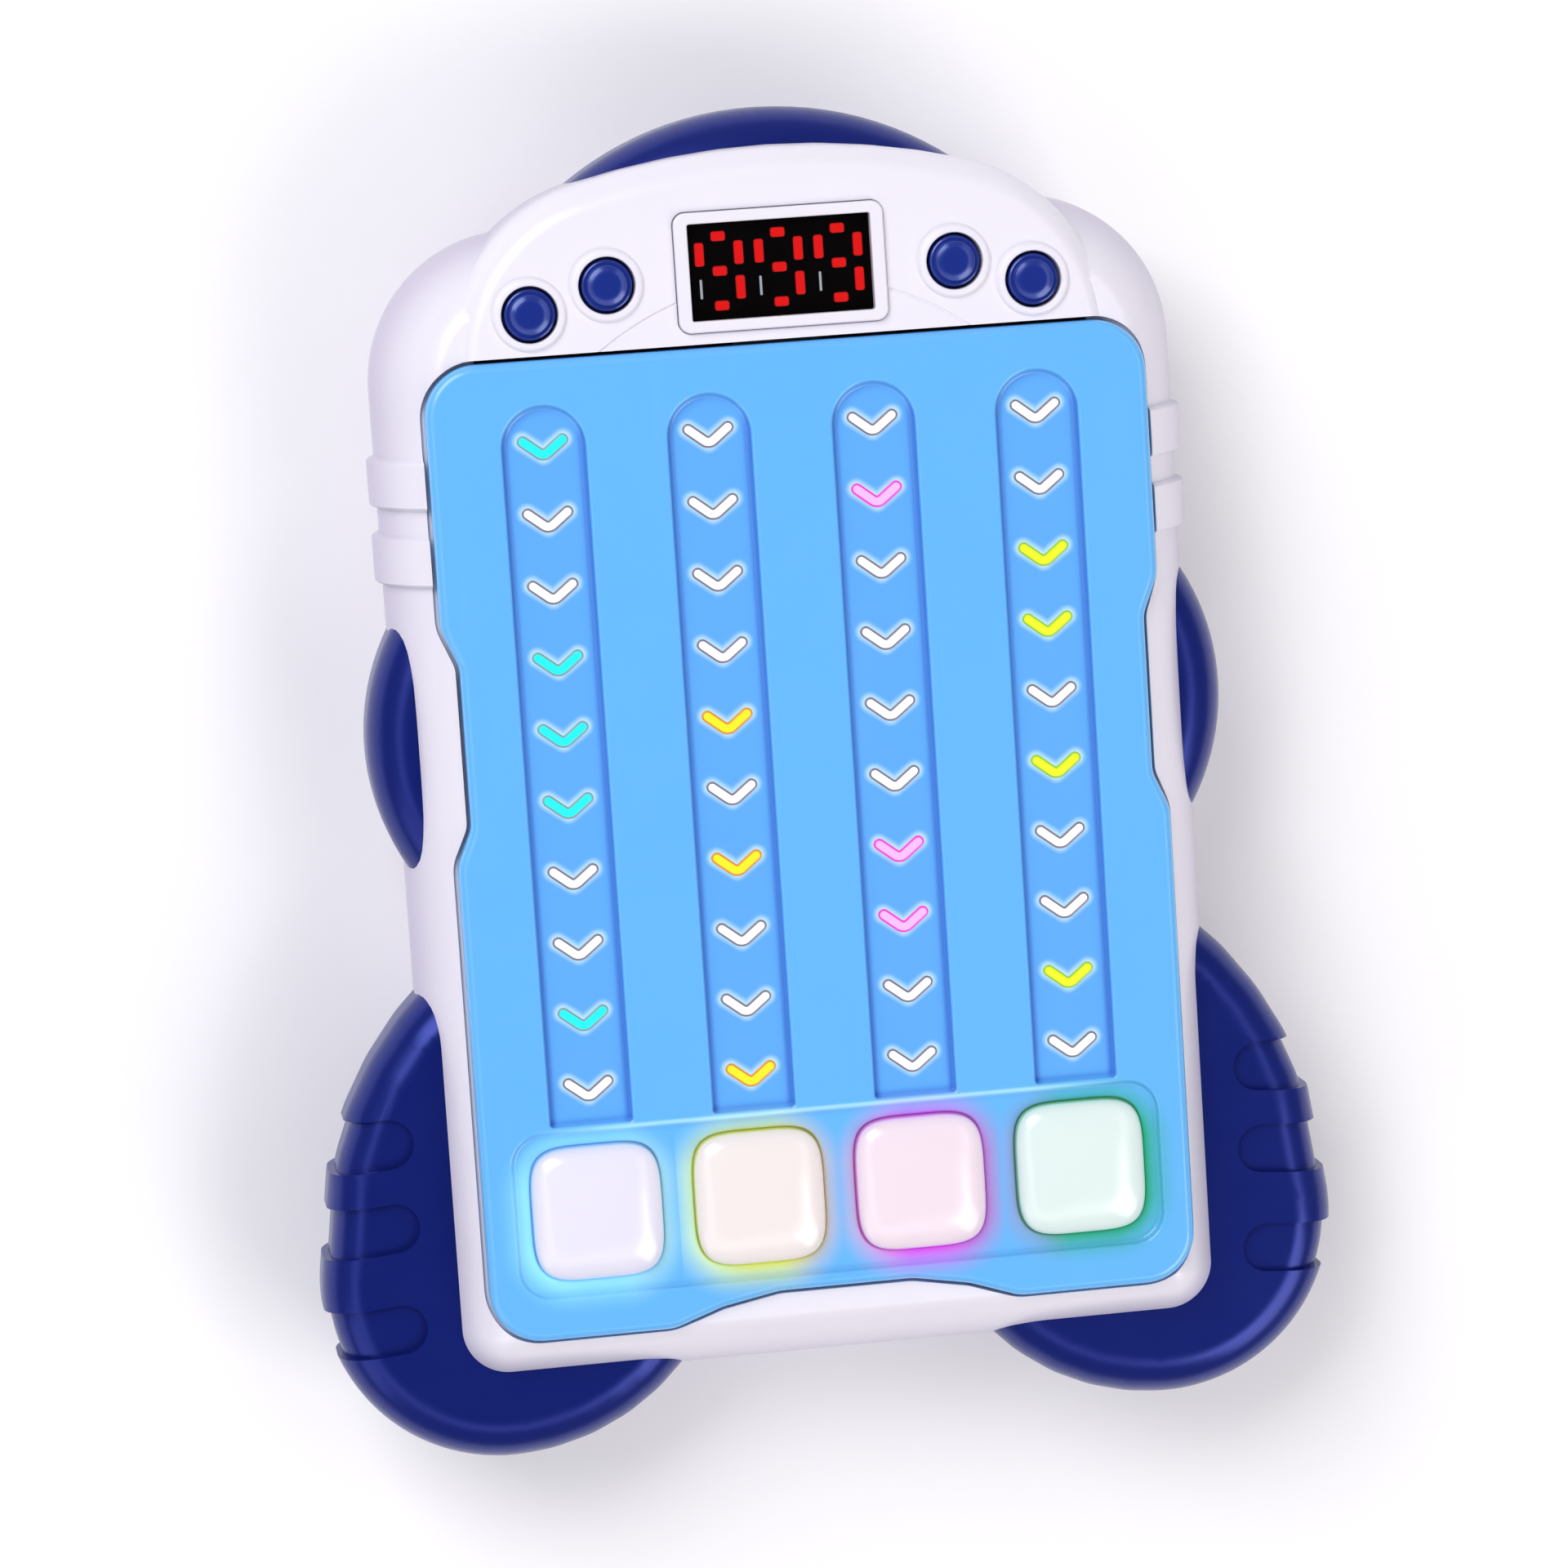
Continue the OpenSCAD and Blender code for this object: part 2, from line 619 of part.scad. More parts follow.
module cell(i) color([0.2, 0.55, 0.3]) {
  s = i == 2 ? -1 : 1;
  translate([(i - 2) * (cell_d + 0.6), (bay_lo + bay_hi) / 2 + s * 1.9, floor_z + 0.4 + cell_d / 2])
    rotate([s * -90, 0, 0]) translate([0, 0, -cell_l / 2]) {
      cylinder(h = cell_l - 1.5, d = cell_d);
      cylinder(h = cell_l, r = 2.7);
    }
}

module contact_springs() color([0.75, 0.75, 0.77]) {
  for (i = [1:3]) let (s = i == 2 ? -1 : 1)
    translate([(i - 2) * (cell_d + 0.6), s > 0 ? bay_lo + 0.5 : bay_hi - 0.5, floor_z + 0.4 + cell_d / 2])
      rotate([s * -90, 0, 0]) difference() {
        cylinder(h = 4.3, r1 = 4.6, r2 = 3);
        translate([0, 0, -cut]) cylinder(h = 8, r1 = 3.9, r2 = 2);
      }
}

module contact_plates() color([0.8, 0.78, 0.7]) {
  for (i = [1:3], y = [bay_lo, bay_hi - 0.5])
    translate([(i - 2) * (cell_d + 0.6) - 5.5, y, floor_z + 2.5]) cube([11, 0.5, 11]);
}

module battery_leads() color([0.75, 0.1, 0.1]) {
  for (x = [-18, 18]) peg([x, bay_hi + bay_wall + 0.6], 0.6, floor_z + 3, board_z);
}

module battery_door() color([0.93, 0.91, 0.95]) {
  difference() {
    union() {
      slab(door_hw, door_lo, door_hi, back_z, back_z + door_t);
      slab(door_hw + rail_w, door_lo, door_hi, back_z + 1.1, back_z + door_t);
    }
    for (k = [0:4]) slab(9 - k, door_lo + 8 + 2.4 * k, door_lo + 9.2 + 2.4 * k, back_z - cut, back_z + 0.7);
  }
}

// ---- fasteners and rubber ----

module housing_screws() color([0.65, 0.65, 0.67]) {
  for (p = concat(free_posts, tongue_posts)) screw(p, head_z, part_z + 9.5);
}

module board_screws() color([0.65, 0.65, 0.67]) {
  for (p = board_posts) screw(p, board_z - 1.8, board_top + 4, 0.95, 1.9);
  for (p = display_posts) screw(p, board_z - 1.8, board_top + 3, 1.05, 1.9);
}

module rubber_feet() color([0.15, 0.15, 0.16]) for (p = rubber_spots) peg(p, 5, 0, back_z + 0.8);

placed() {
  front_housing();
  rear_housing();
  face_plate();
  display_bezel();
  display_window();
  crown();
  for (k = [0, 1]) {
    side_pad(2 * k - 1);
    foot(2 * k - 1);
  }
  for (i = [1:4]) {
    key(i);
    key_dome(i);
    mode_button(i);
    button_dome(i);
    lane_guide(i);
  }
  main_board();
  display_board();
  board_ribbon();
  lane_leds();
  key_leds();
  control_chip();
  capacitors();
  display_module();
  display_segments();
  speaker_basket();
  speaker_cone();
  speaker_magnet();
  speaker_screws();
  speaker_leads();
  for (i = [1:3]) cell(i);
  contact_springs();
  contact_plates();
  battery_leads();
  battery_door();
  housing_screws();
  board_screws();
  rubber_feet();
}
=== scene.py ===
"""Finger rhythm toy: visible pieces, finishes, light and camera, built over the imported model.

Pieces are drawn in millimetres: x across, y from the top row of arrows towards the display, z up from
the table. Layout turns them into the shared frame.
"""

import json
import logging
import math
from dataclasses import dataclass, field
from enum import Enum
from typing import Callable

import bmesh
import bpy
from mathutils import Matrix, Vector

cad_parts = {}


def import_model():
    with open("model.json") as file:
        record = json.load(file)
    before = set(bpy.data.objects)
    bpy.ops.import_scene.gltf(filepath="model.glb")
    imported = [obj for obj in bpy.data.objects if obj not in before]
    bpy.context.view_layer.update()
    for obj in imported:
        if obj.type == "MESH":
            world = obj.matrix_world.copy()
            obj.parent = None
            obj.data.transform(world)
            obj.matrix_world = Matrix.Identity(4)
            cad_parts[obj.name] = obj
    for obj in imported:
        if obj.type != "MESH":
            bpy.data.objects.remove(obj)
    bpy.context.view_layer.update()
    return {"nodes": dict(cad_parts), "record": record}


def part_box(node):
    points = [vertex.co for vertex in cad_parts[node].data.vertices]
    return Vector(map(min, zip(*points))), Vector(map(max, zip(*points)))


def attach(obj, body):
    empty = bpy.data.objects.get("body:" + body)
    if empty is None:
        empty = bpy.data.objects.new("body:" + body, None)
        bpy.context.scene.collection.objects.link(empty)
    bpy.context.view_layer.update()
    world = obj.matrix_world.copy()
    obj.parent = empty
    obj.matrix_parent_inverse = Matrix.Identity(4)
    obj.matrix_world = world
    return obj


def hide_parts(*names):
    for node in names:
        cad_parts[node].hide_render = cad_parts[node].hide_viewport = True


MM = 0.001
LANES = 4
LOG = logging.getLogger("rhythm_toy")

Profile = list[tuple[float, float]]
Circle = tuple[float, float, float]
Swell = Callable[[Vector], float]
Value = bpy.types.NodeSocket | float | tuple[float, ...]
Size = float | int | bpy.types.Object | bpy.types.Material


class Join(Enum):
    """How one closed form meets another."""

    ADD = "UNION"
    CUT = "DIFFERENCE"


class Glow(Enum):
    """Light colour of each lane, as linear red, green and blue."""

    CYAN = (0.013, 0.85, 0.83)
    GOLD = (1.0, 0.72, 0.015)
    PINK = (0.93, 0.42, 0.86)
    LIME = (0.72, 0.93, 0.016)


class Side(Enum):
    """Left or right half of the toy, as the sign of x."""

    LEFT = -1
    RIGHT = 1


def linear(red: int, green: int, blue: int) -> tuple[float, float, float, float]:
    """Turns a display colour of 0 to 255 a channel into the linear colour that a shader takes."""
    channels = [c / 255 for c in (red, green, blue)]
    return tuple(c / 12.92 if c <= 0.04045 else ((c + 0.055) / 1.055) ** 2.4 for c in channels) + (1.0,)


# ---------------------------------------------------------------- layout


@dataclass(frozen=True)
class Layout:
    """Where the toy's parts stand, in millimetres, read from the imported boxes."""

    row_zero: float
    row_pitch: float
    lane_pitch: float
    rows: int
    plate_half: float
    plate_high: float
    plate_low: float
    plate_base: float
    plate_top: float
    part_z: float
    back_z: float
    body_half: float
    body_low: float
    dome_high: float
    dome_z: float
    key_row: float
    key_wide: float
    key_long: float
    key_top: float
    display_y: float
    pad_low: float
    pad_high: float

    @classmethod
    def read(cls) -> "Layout":
        """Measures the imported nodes.

        Returns:
            The layout, with y counted from the top row of arrows.
        """
        leds_low, leds_high = (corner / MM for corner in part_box("lane_leds"))
        plate_low, plate_high = (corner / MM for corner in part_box("face_plate"))
        front_low, front_high = (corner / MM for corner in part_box("front_housing"))
        rear_low, rear_high = (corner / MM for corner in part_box("rear_housing"))
        key_low, key_high = (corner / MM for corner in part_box("key_1"))
        window_low, window_high = (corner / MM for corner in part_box("display_window"))
        foot_low, foot_high = (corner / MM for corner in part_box("foot_left"))
        led_long, led_wide, flange, collar, band = 2.8, 3.5, 1.2, 0.8, 1.2
        rows = 10
        zero = leds_high.y - led_long / 2
        return cls(
            row_zero=zero,
            row_pitch=(leds_high.y - leds_low.y - led_long) / (rows - 1),
            lane_pitch=(leds_high.x - leds_low.x - led_wide) / (LANES - 1),
            rows=rows,
            plate_half=plate_high.x,
            plate_high=plate_high.y - zero,
            plate_low=plate_low.y - zero,
            plate_base=plate_high.z - 3.5,
            plate_top=plate_high.z,
            part_z=front_low.z,
            back_z=rear_low.z,
            body_half=rear_high.x - band,
            body_low=rear_low.y - zero,
            dome_high=front_high.y - zero,
            dome_z=front_high.z - collar,
            key_row=(key_low.y + key_high.y) / 2 - zero,
            key_wide=key_high.x - key_low.x - 2 * flange,
            key_long=key_high.y - key_low.y - 2 * flange,
            key_top=key_high.z,
            display_y=(window_low.y + window_high.y) / 2 - zero,
            pad_low=foot_low.z,
            pad_high=foot_high.z,
        )

    def lane_x(self, lane: int) -> float:
        """Middle of a lane, counted from 1 at the left."""
        return (lane - (LANES + 1) / 2) * self.lane_pitch

    def box(self, node: str) -> tuple[Vector, Vector]:
        """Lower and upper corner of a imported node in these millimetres."""
        shift = Vector((0, self.row_zero, 0))
        low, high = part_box(node)
        return low / MM - shift, high / MM - shift

    def centre(self, node: str) -> Vector:
        """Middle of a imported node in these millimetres."""
        low, high = self.box(node)
        return (low + high) / 2

    def to_frame(self) -> Matrix:
        """Matrix from these millimetres to the shared frame in metres."""
        return Matrix.Scale(MM, 4) @ Matrix.Translation((0, self.row_zero, 0))


# ---------------------------------------------------------------- plan outlines and closed forms


class Outline:
    """A closed plan outline whose points know which way is out and how far in they may move."""

    def __init__(self, points: list[Vector], outward: list[Vector], reach: list[float]) -> None:
        """Keeps the points, their outward directions and their corner radii."""
        self.points = points
        self.outward = outward
        self.reach = reach

    @classmethod
    def hull(cls, circles: list[Circle], step: float = 4.0) -> "Outline":
        """Wraps a tight band round circles.

        Args:
            circles: x, y and radius of each circle.
            step: angle between points on an arc, in degrees.

        Returns:
            The outline, anticlockwise.
        """
        points: list[Vector] = []
        outward: list[Vector] = []
        reach: list[float] = []

        def touching(angle: float) -> int:
            """Which circle lies furthest out in a direction."""
            x, y = math.cos(angle), math.sin(angle)
            spread = [cx * x + cy * y + radius for cx, cy, radius in circles]
            return spread.index(max(spread))

        def place(angle: float, index: int) -> None:
            """Adds the point of a circle that faces a direction."""
            normal = Vector((math.cos(angle), math.sin(angle)))
            points.append(Vector(circles[index][:2]) + normal * circles[index][2])
            outward.append(normal)
            reach.append(circles[index][2])

        count = round(360 / step)
        for k in range(count):
            angle, after = math.tau * k / count, math.tau * (k + 1) / count
            here = touching(angle)
            place(angle, here)
            while here != touching(after):
                low, high = angle, after
                for _ in range(36):
                    middle = (low + high) / 2
                    if touching(middle) == here:
                        low = middle
                    else:
                        high = middle
                place(low, here)
                here = touching(high)
                place(high, here)
                angle = high
        return cls(points, outward, reach)

    @classmethod
    def filleted(cls, corners: list[Circle], step: float = 10.0) -> "Outline":
        """Rounds the corners of an anticlockwise polygon.

        Args:
            corners: x, y and fillet radius of each corner.
            step: largest angle between points of a fillet, in degrees.

        Returns:
            The rounded outline.
        """
        points: list[Vector] = []
        outward: list[Vector] = []
        reach: list[float] = []
        count = len(corners)
        for i, (x, y, radius) in enumerate(corners):
            here = Vector((x, y))
            back = (here - Vector(corners[i - 1][:2])).normalized()
            ahead = (Vector(corners[(i + 1) % count][:2]) - here).normalized()
            turn = math.atan2(back.cross(ahead), back.dot(ahead))
            side = 1 if turn > 0 else -1
            start = here - back * radius * math.tan(abs(turn) / 2)
            first = Vector((back.y, -back.x))
            middle = start - first * radius * side
            steps = max(1, math.ceil(math.degrees(abs(turn)) / step))
            for k in range(steps + 1):
                normal = first.copy()
                normal.rotate(Matrix.Rotation(turn * k / steps, 2))
                points.append(middle + normal * radius * side)
                outward.append(normal)
                reach.append(radius if side > 0 else math.inf)
        return cls(points, outward, reach)

    @classmethod
    def box(cls, x0: float, x1: float, y0: float, y1: float, radius: float,
            step: float = 10.0) -> "Outline":
        """Rectangle with rounded corners."""
        corners = [(x0, y0, radius), (x1, y0, radius), (x1, y1, radius), (x0, y1, radius)]
        return cls.filleted(corners, step)

    @classmethod
    def circle(cls, x: float, y: float, radius: float, step: float = 6.0) -> "Outline":
        """Round outline."""
        return cls.hull([(x, y, radius)], step)

    @classmethod
    def squircle(cls, x: float, y: float, half_wide: float, half_long: float,
                 power: float = 4.4) -> "Outline":
        """Soft square between a rectangle and an ellipse."""
        points: list[Vector] = []
        outward: list[Vector] = []
        count = 96
        for k in range(count):
            angle = math.tau * k / count
            c, s = math.cos(angle), math.sin(angle)
            px = math.copysign(abs(c) ** (2 / power), c)
            py = math.copysign(abs(s) ** (2 / power), s)
            points.append(Vector((x + px * half_wide, y + py * half_long)))
            slope = Vector((math.copysign(abs(px) ** (power - 1), px) / half_wide,
                            math.copysign(abs(py) ** (power - 1), py) / half_long))
            outward.append(slope.normalized())
        return cls(points, outward, [math.inf] * count)

    def with_stops(self, heights: list[float]) -> "Outline":
        """Adds a point wherever the outline crosses one of the given values of y."""
        points: list[Vector] = []
        outward: list[Vector] = []
        reach: list[float] = []
        count = len(self.points)
        for i in range(count):
            j = (i + 1) % count
            p, q = self.points[i], self.points[j]
            points.append(p)
            outward.append(self.outward[i])
            reach.append(self.reach[i])
            crossed = [h for h in heights if min(p.y, q.y) + 0.01 < h < max(p.y, q.y) - 0.01]
            for height in sorted(crossed, reverse=q.y < p.y):
                share = (height - p.y) / (q.y - p.y)
                points.append(p.lerp(q, share))
                outward.append(self.outward[i].lerp(self.outward[j], share).normalized())
                reach.append(min(self.reach[i], self.reach[j]))
        return Outline(points, outward, reach)

    def mirrored(self) -> "Outline":
        """The same outline on the other side of x = 0."""
        flip = Vector((-1, 1))
        points, outward = ([v * flip for v in reversed(row)] for row in (self.points, self.outward))
        return Outline(points, outward, self.reach[::-1])

    def ring(self, inset: float, z: float) -> list[Vector]:
        """The outline moved in by inset, at height z."""
        spots = zip(self.points, self.outward, self.reach)
        return [(p - n * min(inset, max(r - 0.25, 0))).to_3d() + Vector((0, 0, z)) for p, n, r in spots]


def quarter(z: float, inset: float, radius_z: float, radius_in: float, rising: bool,
            steps: int = 5) -> Profile:
    """Levels of a rounded rim that turns from upright to flat.

    Args:
        z: height where the rounding ends flat.
        inset: how far in it ends.
        radius_z: height of the rounding.
        radius_in: depth of the rounding, measured inwards.
        rising: True for an upper rim, which turns inwards as it goes up.
        steps: number of facets.

    Returns:
        Heights and insets, in order of height.
    """
    sign = 1 if rising else -1
    levels = []
    for k in range(steps + 1):
        angle = math.pi / 2 * k / steps
        levels.append((z - sign * radius_z * (1 - math.sin(angle)), inset - radius_in * math.cos(angle)))
    return levels if rising else levels[::-1]


def opening(floor: float, top: float, fillet: float, lip: float) -> Profile:
    """Levels of a cutting form that leaves a filleted floor and a rounded upper edge.

    Args:
        floor: height of the floor.
        top: height of the surface that is cut.
        fillet: radius at the floor.
        lip: radius at the upper edge.

    Returns:
        Heights and insets, from the floor up to above the surface.
    """
    levels = quarter(floor, fillet, fillet, fillet, False, 4) if fillet else [(floor, 0.0)]
    for k in range(5):
        angle = math.radians(19 * k)
        levels.append((top - lip * (1 - math.sin(angle)), -lip * (1 - math.cos(angle))))
    return levels + [(top + 0.2, -lip - 0.9), (top + 6, -lip - 0.9)]


class Form:
    """A closed skin in grid millimetres, joined with others before it becomes a piece."""

    def __init__(self, mesh: bpy.types.Mesh) -> None:
        """Wraps a closed mesh."""
        self.mesh = mesh

    @classmethod
    def skin(cls, rings: list[list[Vector]], loop: bool = False) -> "Form":
        """Joins rings of equal length into a closed form.

        Args:
            rings: the rings in order.
            loop: True where the last ring meets the first instead of both having flat ends.

        Returns:
            The form, with its faces outwards.
        """
        work = bmesh.new()
        rows = [[work.verts.new(p) for p in ring] for ring in rings]
        pairs = list(zip(rows, rows[1:] + rows[:1])) if loop else list(zip(rows, rows[1:]))
        for low, high in pairs:
            for i in range(len(low)):
                j = (i + 1) % len(low)
                work.faces.new((low[i], low[j], high[j], high[i]))
        if not loop:
            work.faces.new(rows[0][::-1])
            work.faces.new(rows[-1])
        bmesh.ops.remove_doubles(work, verts=work.verts, dist=0.002)
        bmesh.ops.recalc_face_normals(work, faces=work.faces)
        mesh = bpy.data.meshes.new("form")
        work.to_mesh(mesh)
        work.free()
        return cls(mesh)

    @classmethod
    def loft(cls, outline: Outline, profile: Profile, swell: Swell | None = None) -> "Form":
        """Raises an outline through heights and insets.

        Args:
            outline: the plan outline.
            profile: heights with their insets.
            swell: how far a point stands out along the surface, if it does.

        Returns:
            The closed form.
        """
        rings = [outline.ring(inset, z) for z, inset in profile]
        if swell:
            for k, ring in enumerate(rings):
                low, high = profile[max(k - 1, 0)], profile[min(k + 1, len(profile) - 1)]
                tilt = Vector((high[0] - low[0], high[1] - low[1])).normalized()
                for point, normal in zip(ring, outline.outward):
                    point += Vector((normal.x * tilt.x, normal.y * tilt.x, tilt.y)) * swell(point)
                    point.z = max(point.z, profile[0][0])
        return cls.skin(rings)

    @classmethod
    def lathe(cls, x: float, y: float, section: list[tuple[float, float]], sides: int = 64,
              loop: bool = False) -> "Form":
        """Turns a section of radii and heights round an upright axis."""
        rings = []
        for radius, z in section:
            turns = (math.tau * k / sides for k in range(sides))
            rings.append([Vector((x + radius * math.cos(a), y + radius * math.sin(a), z)) for a in turns])
        return cls.skin(rings, loop)

    @classmethod
    def block(cls, x0: float, x1: float, y0: float, y1: float, z0: float, z1: float) -> "Form":
        """Rectangular form, used for cutting."""
        corners = [(x0, y0), (x1, y0), (x1, y1), (x0, y1)]
        return cls.skin([[Vector((x, y, z)) for x, y in corners] for z in (z0, z1)])

    def joined(self, other: "Form", how: Join) -> "Form":
        """Adds the other form or cuts it away, with an exact join.

        Args:
            other: the second form.
            how: the way they are joined.

        Returns:
            The resulting form.
        """
        first, second = (bpy.data.objects.new("work", m) for m in (self.mesh, other.mesh))
        for item in (first, second):
            bpy.context.scene.collection.objects.link(item)
        step = first.modifiers.new("join", "BOOLEAN")
        step.operation, step.object, step.solver = how.value, second, "MANIFOLD"
        result = bpy.data.meshes.new_from_object(first.evaluated_get(bpy.context.evaluated_depsgraph_get()))
        for item in (first, second):
            bpy.data.objects.remove(item)
        return Form(result)

    def cut(self, *others: "Form") -> "Form":
        """Takes the other forms away, one after another."""
        result = self
        for other in others:
            result = result.joined(other, Join.CUT)
        return result

    def add(self, *others: "Form") -> "Form":
        """Joins the other forms on, one after another."""
        result = self
        for other in others:
            result = result.joined(other, Join.ADD)
        return result

    def merged(self) -> "Form":
        """The same form with the flat faces that a join has split made whole again."""
        work = bmesh.new()
        work.from_mesh(self.mesh)
        bmesh.ops.dissolve_limit(work, angle_limit=math.radians(0.05), verts=work.verts, edges=work.edges)
        mesh = bpy.data.meshes.new("form")
        work.to_mesh(mesh)
        work.free()
        return Form(mesh)

    def beside(self, *others: "Form") -> "Form":
        """Puts other forms in the same mesh without joining their skins."""
        work = bmesh.new()
        for form in (self, *others):
            work.from_mesh(form.mesh)
        mesh = bpy.data.meshes.new("form")
        work.to_mesh(mesh)
        work.free()
        return Form(mesh)


# ---------------------------------------------------------------- shader wiring


class Wiring:
    """Short-hand for placing and joining the nodes of one tree."""

    def __init__(self, tree: bpy.types.NodeTree) -> None:
        """Takes the tree that nodes are added to."""
        self.tree = tree

    def node(self, kind: str, **settings: object) -> bpy.types.Node:
        """Adds a node and sets its properties."""
        node = self.tree.nodes.new(kind)
        for name, value in settings.items():
            setattr(node, name, value)
        return node

    def feed(self, socket: bpy.types.NodeSocket, value: Value) -> None:
        """Joins a socket to another, or gives it a number or colour."""
        if isinstance(value, bpy.types.NodeSocket):
            self.tree.links.new(value, socket)
        else:
            socket.default_value = value

    def position(self) -> list[bpy.types.NodeSocket]:
        """Object coordinates, as three separate numbers."""
        split = self.node("ShaderNodeSeparateXYZ")
        self.feed(split.inputs[0], self.node("ShaderNodeTexCoord").outputs["Object"])
        return list(split.outputs)

    def fact(self, name: str) -> bpy.types.NodeSocket:
        """A number that the mesh carries under a name."""
        return self.node("ShaderNodeAttribute", attribute_name=name).outputs["Fac"]

    def math(self, operation: str, *values: Value, clamp: bool = False) -> bpy.types.NodeSocket:
        """One step of arithmetic."""
        node = self.node("ShaderNodeMath", operation=operation, use_clamp=clamp)
        for socket, value in zip(node.inputs, values):
            self.feed(socket, value)
        return node.outputs[0]

    def squares(self, first: Value, second: Value) -> bpy.types.NodeSocket:
        """Sum of two squares."""
        return self.math("ADD", *(self.math("MULTIPLY", value, value) for value in (first, second)))

    def fade(self, value: Value, start: float, end: float) -> bpy.types.NodeSocket:
        """Smooth mask that is 0 at start and 1 at end."""
        node = self.node("ShaderNodeMapRange", interpolation_type="SMOOTHSTEP")
        for name, number in (("From Min", start), ("From Max", end), ("Value", value)):
            self.feed(node.inputs[name], number)
        return node.outputs["Result"]

    def blend(self, share: Value, first: Value, second: Value, kind: str = "MIX") -> bpy.types.NodeSocket:
        """Mixes two colours."""
        node = self.node("ShaderNodeMix", data_type="RGBA", blend_type=kind)
        for index, value in ((0, share), (6, first), (7, second)):
            self.feed(node.inputs[index], value)
        return node.outputs[2]

    def noise(self, place: Value, scale: Value, detail: float = 3.0) -> bpy.types.NodeSocket:
        """Even noise of 0 to 1."""
        node = self.node("ShaderNodeTexNoise")
        self.feed(node.inputs["Vector"], place)
        self.feed(node.inputs["Scale"], scale)
        node.inputs["Detail"].default_value = detail
        return node.outputs[0]

    def use(self, tree: bpy.types.NodeTree, **values: Value) -> bpy.types.Node:
        """Places a shared group and sets its named inputs; an underscore stands for a space."""
        node = self.node("ShaderNodeGroup", node_tree=tree)
        for name, value in values.items():
            self.feed(node.inputs[name.replace("_", " ")], value)
        return node


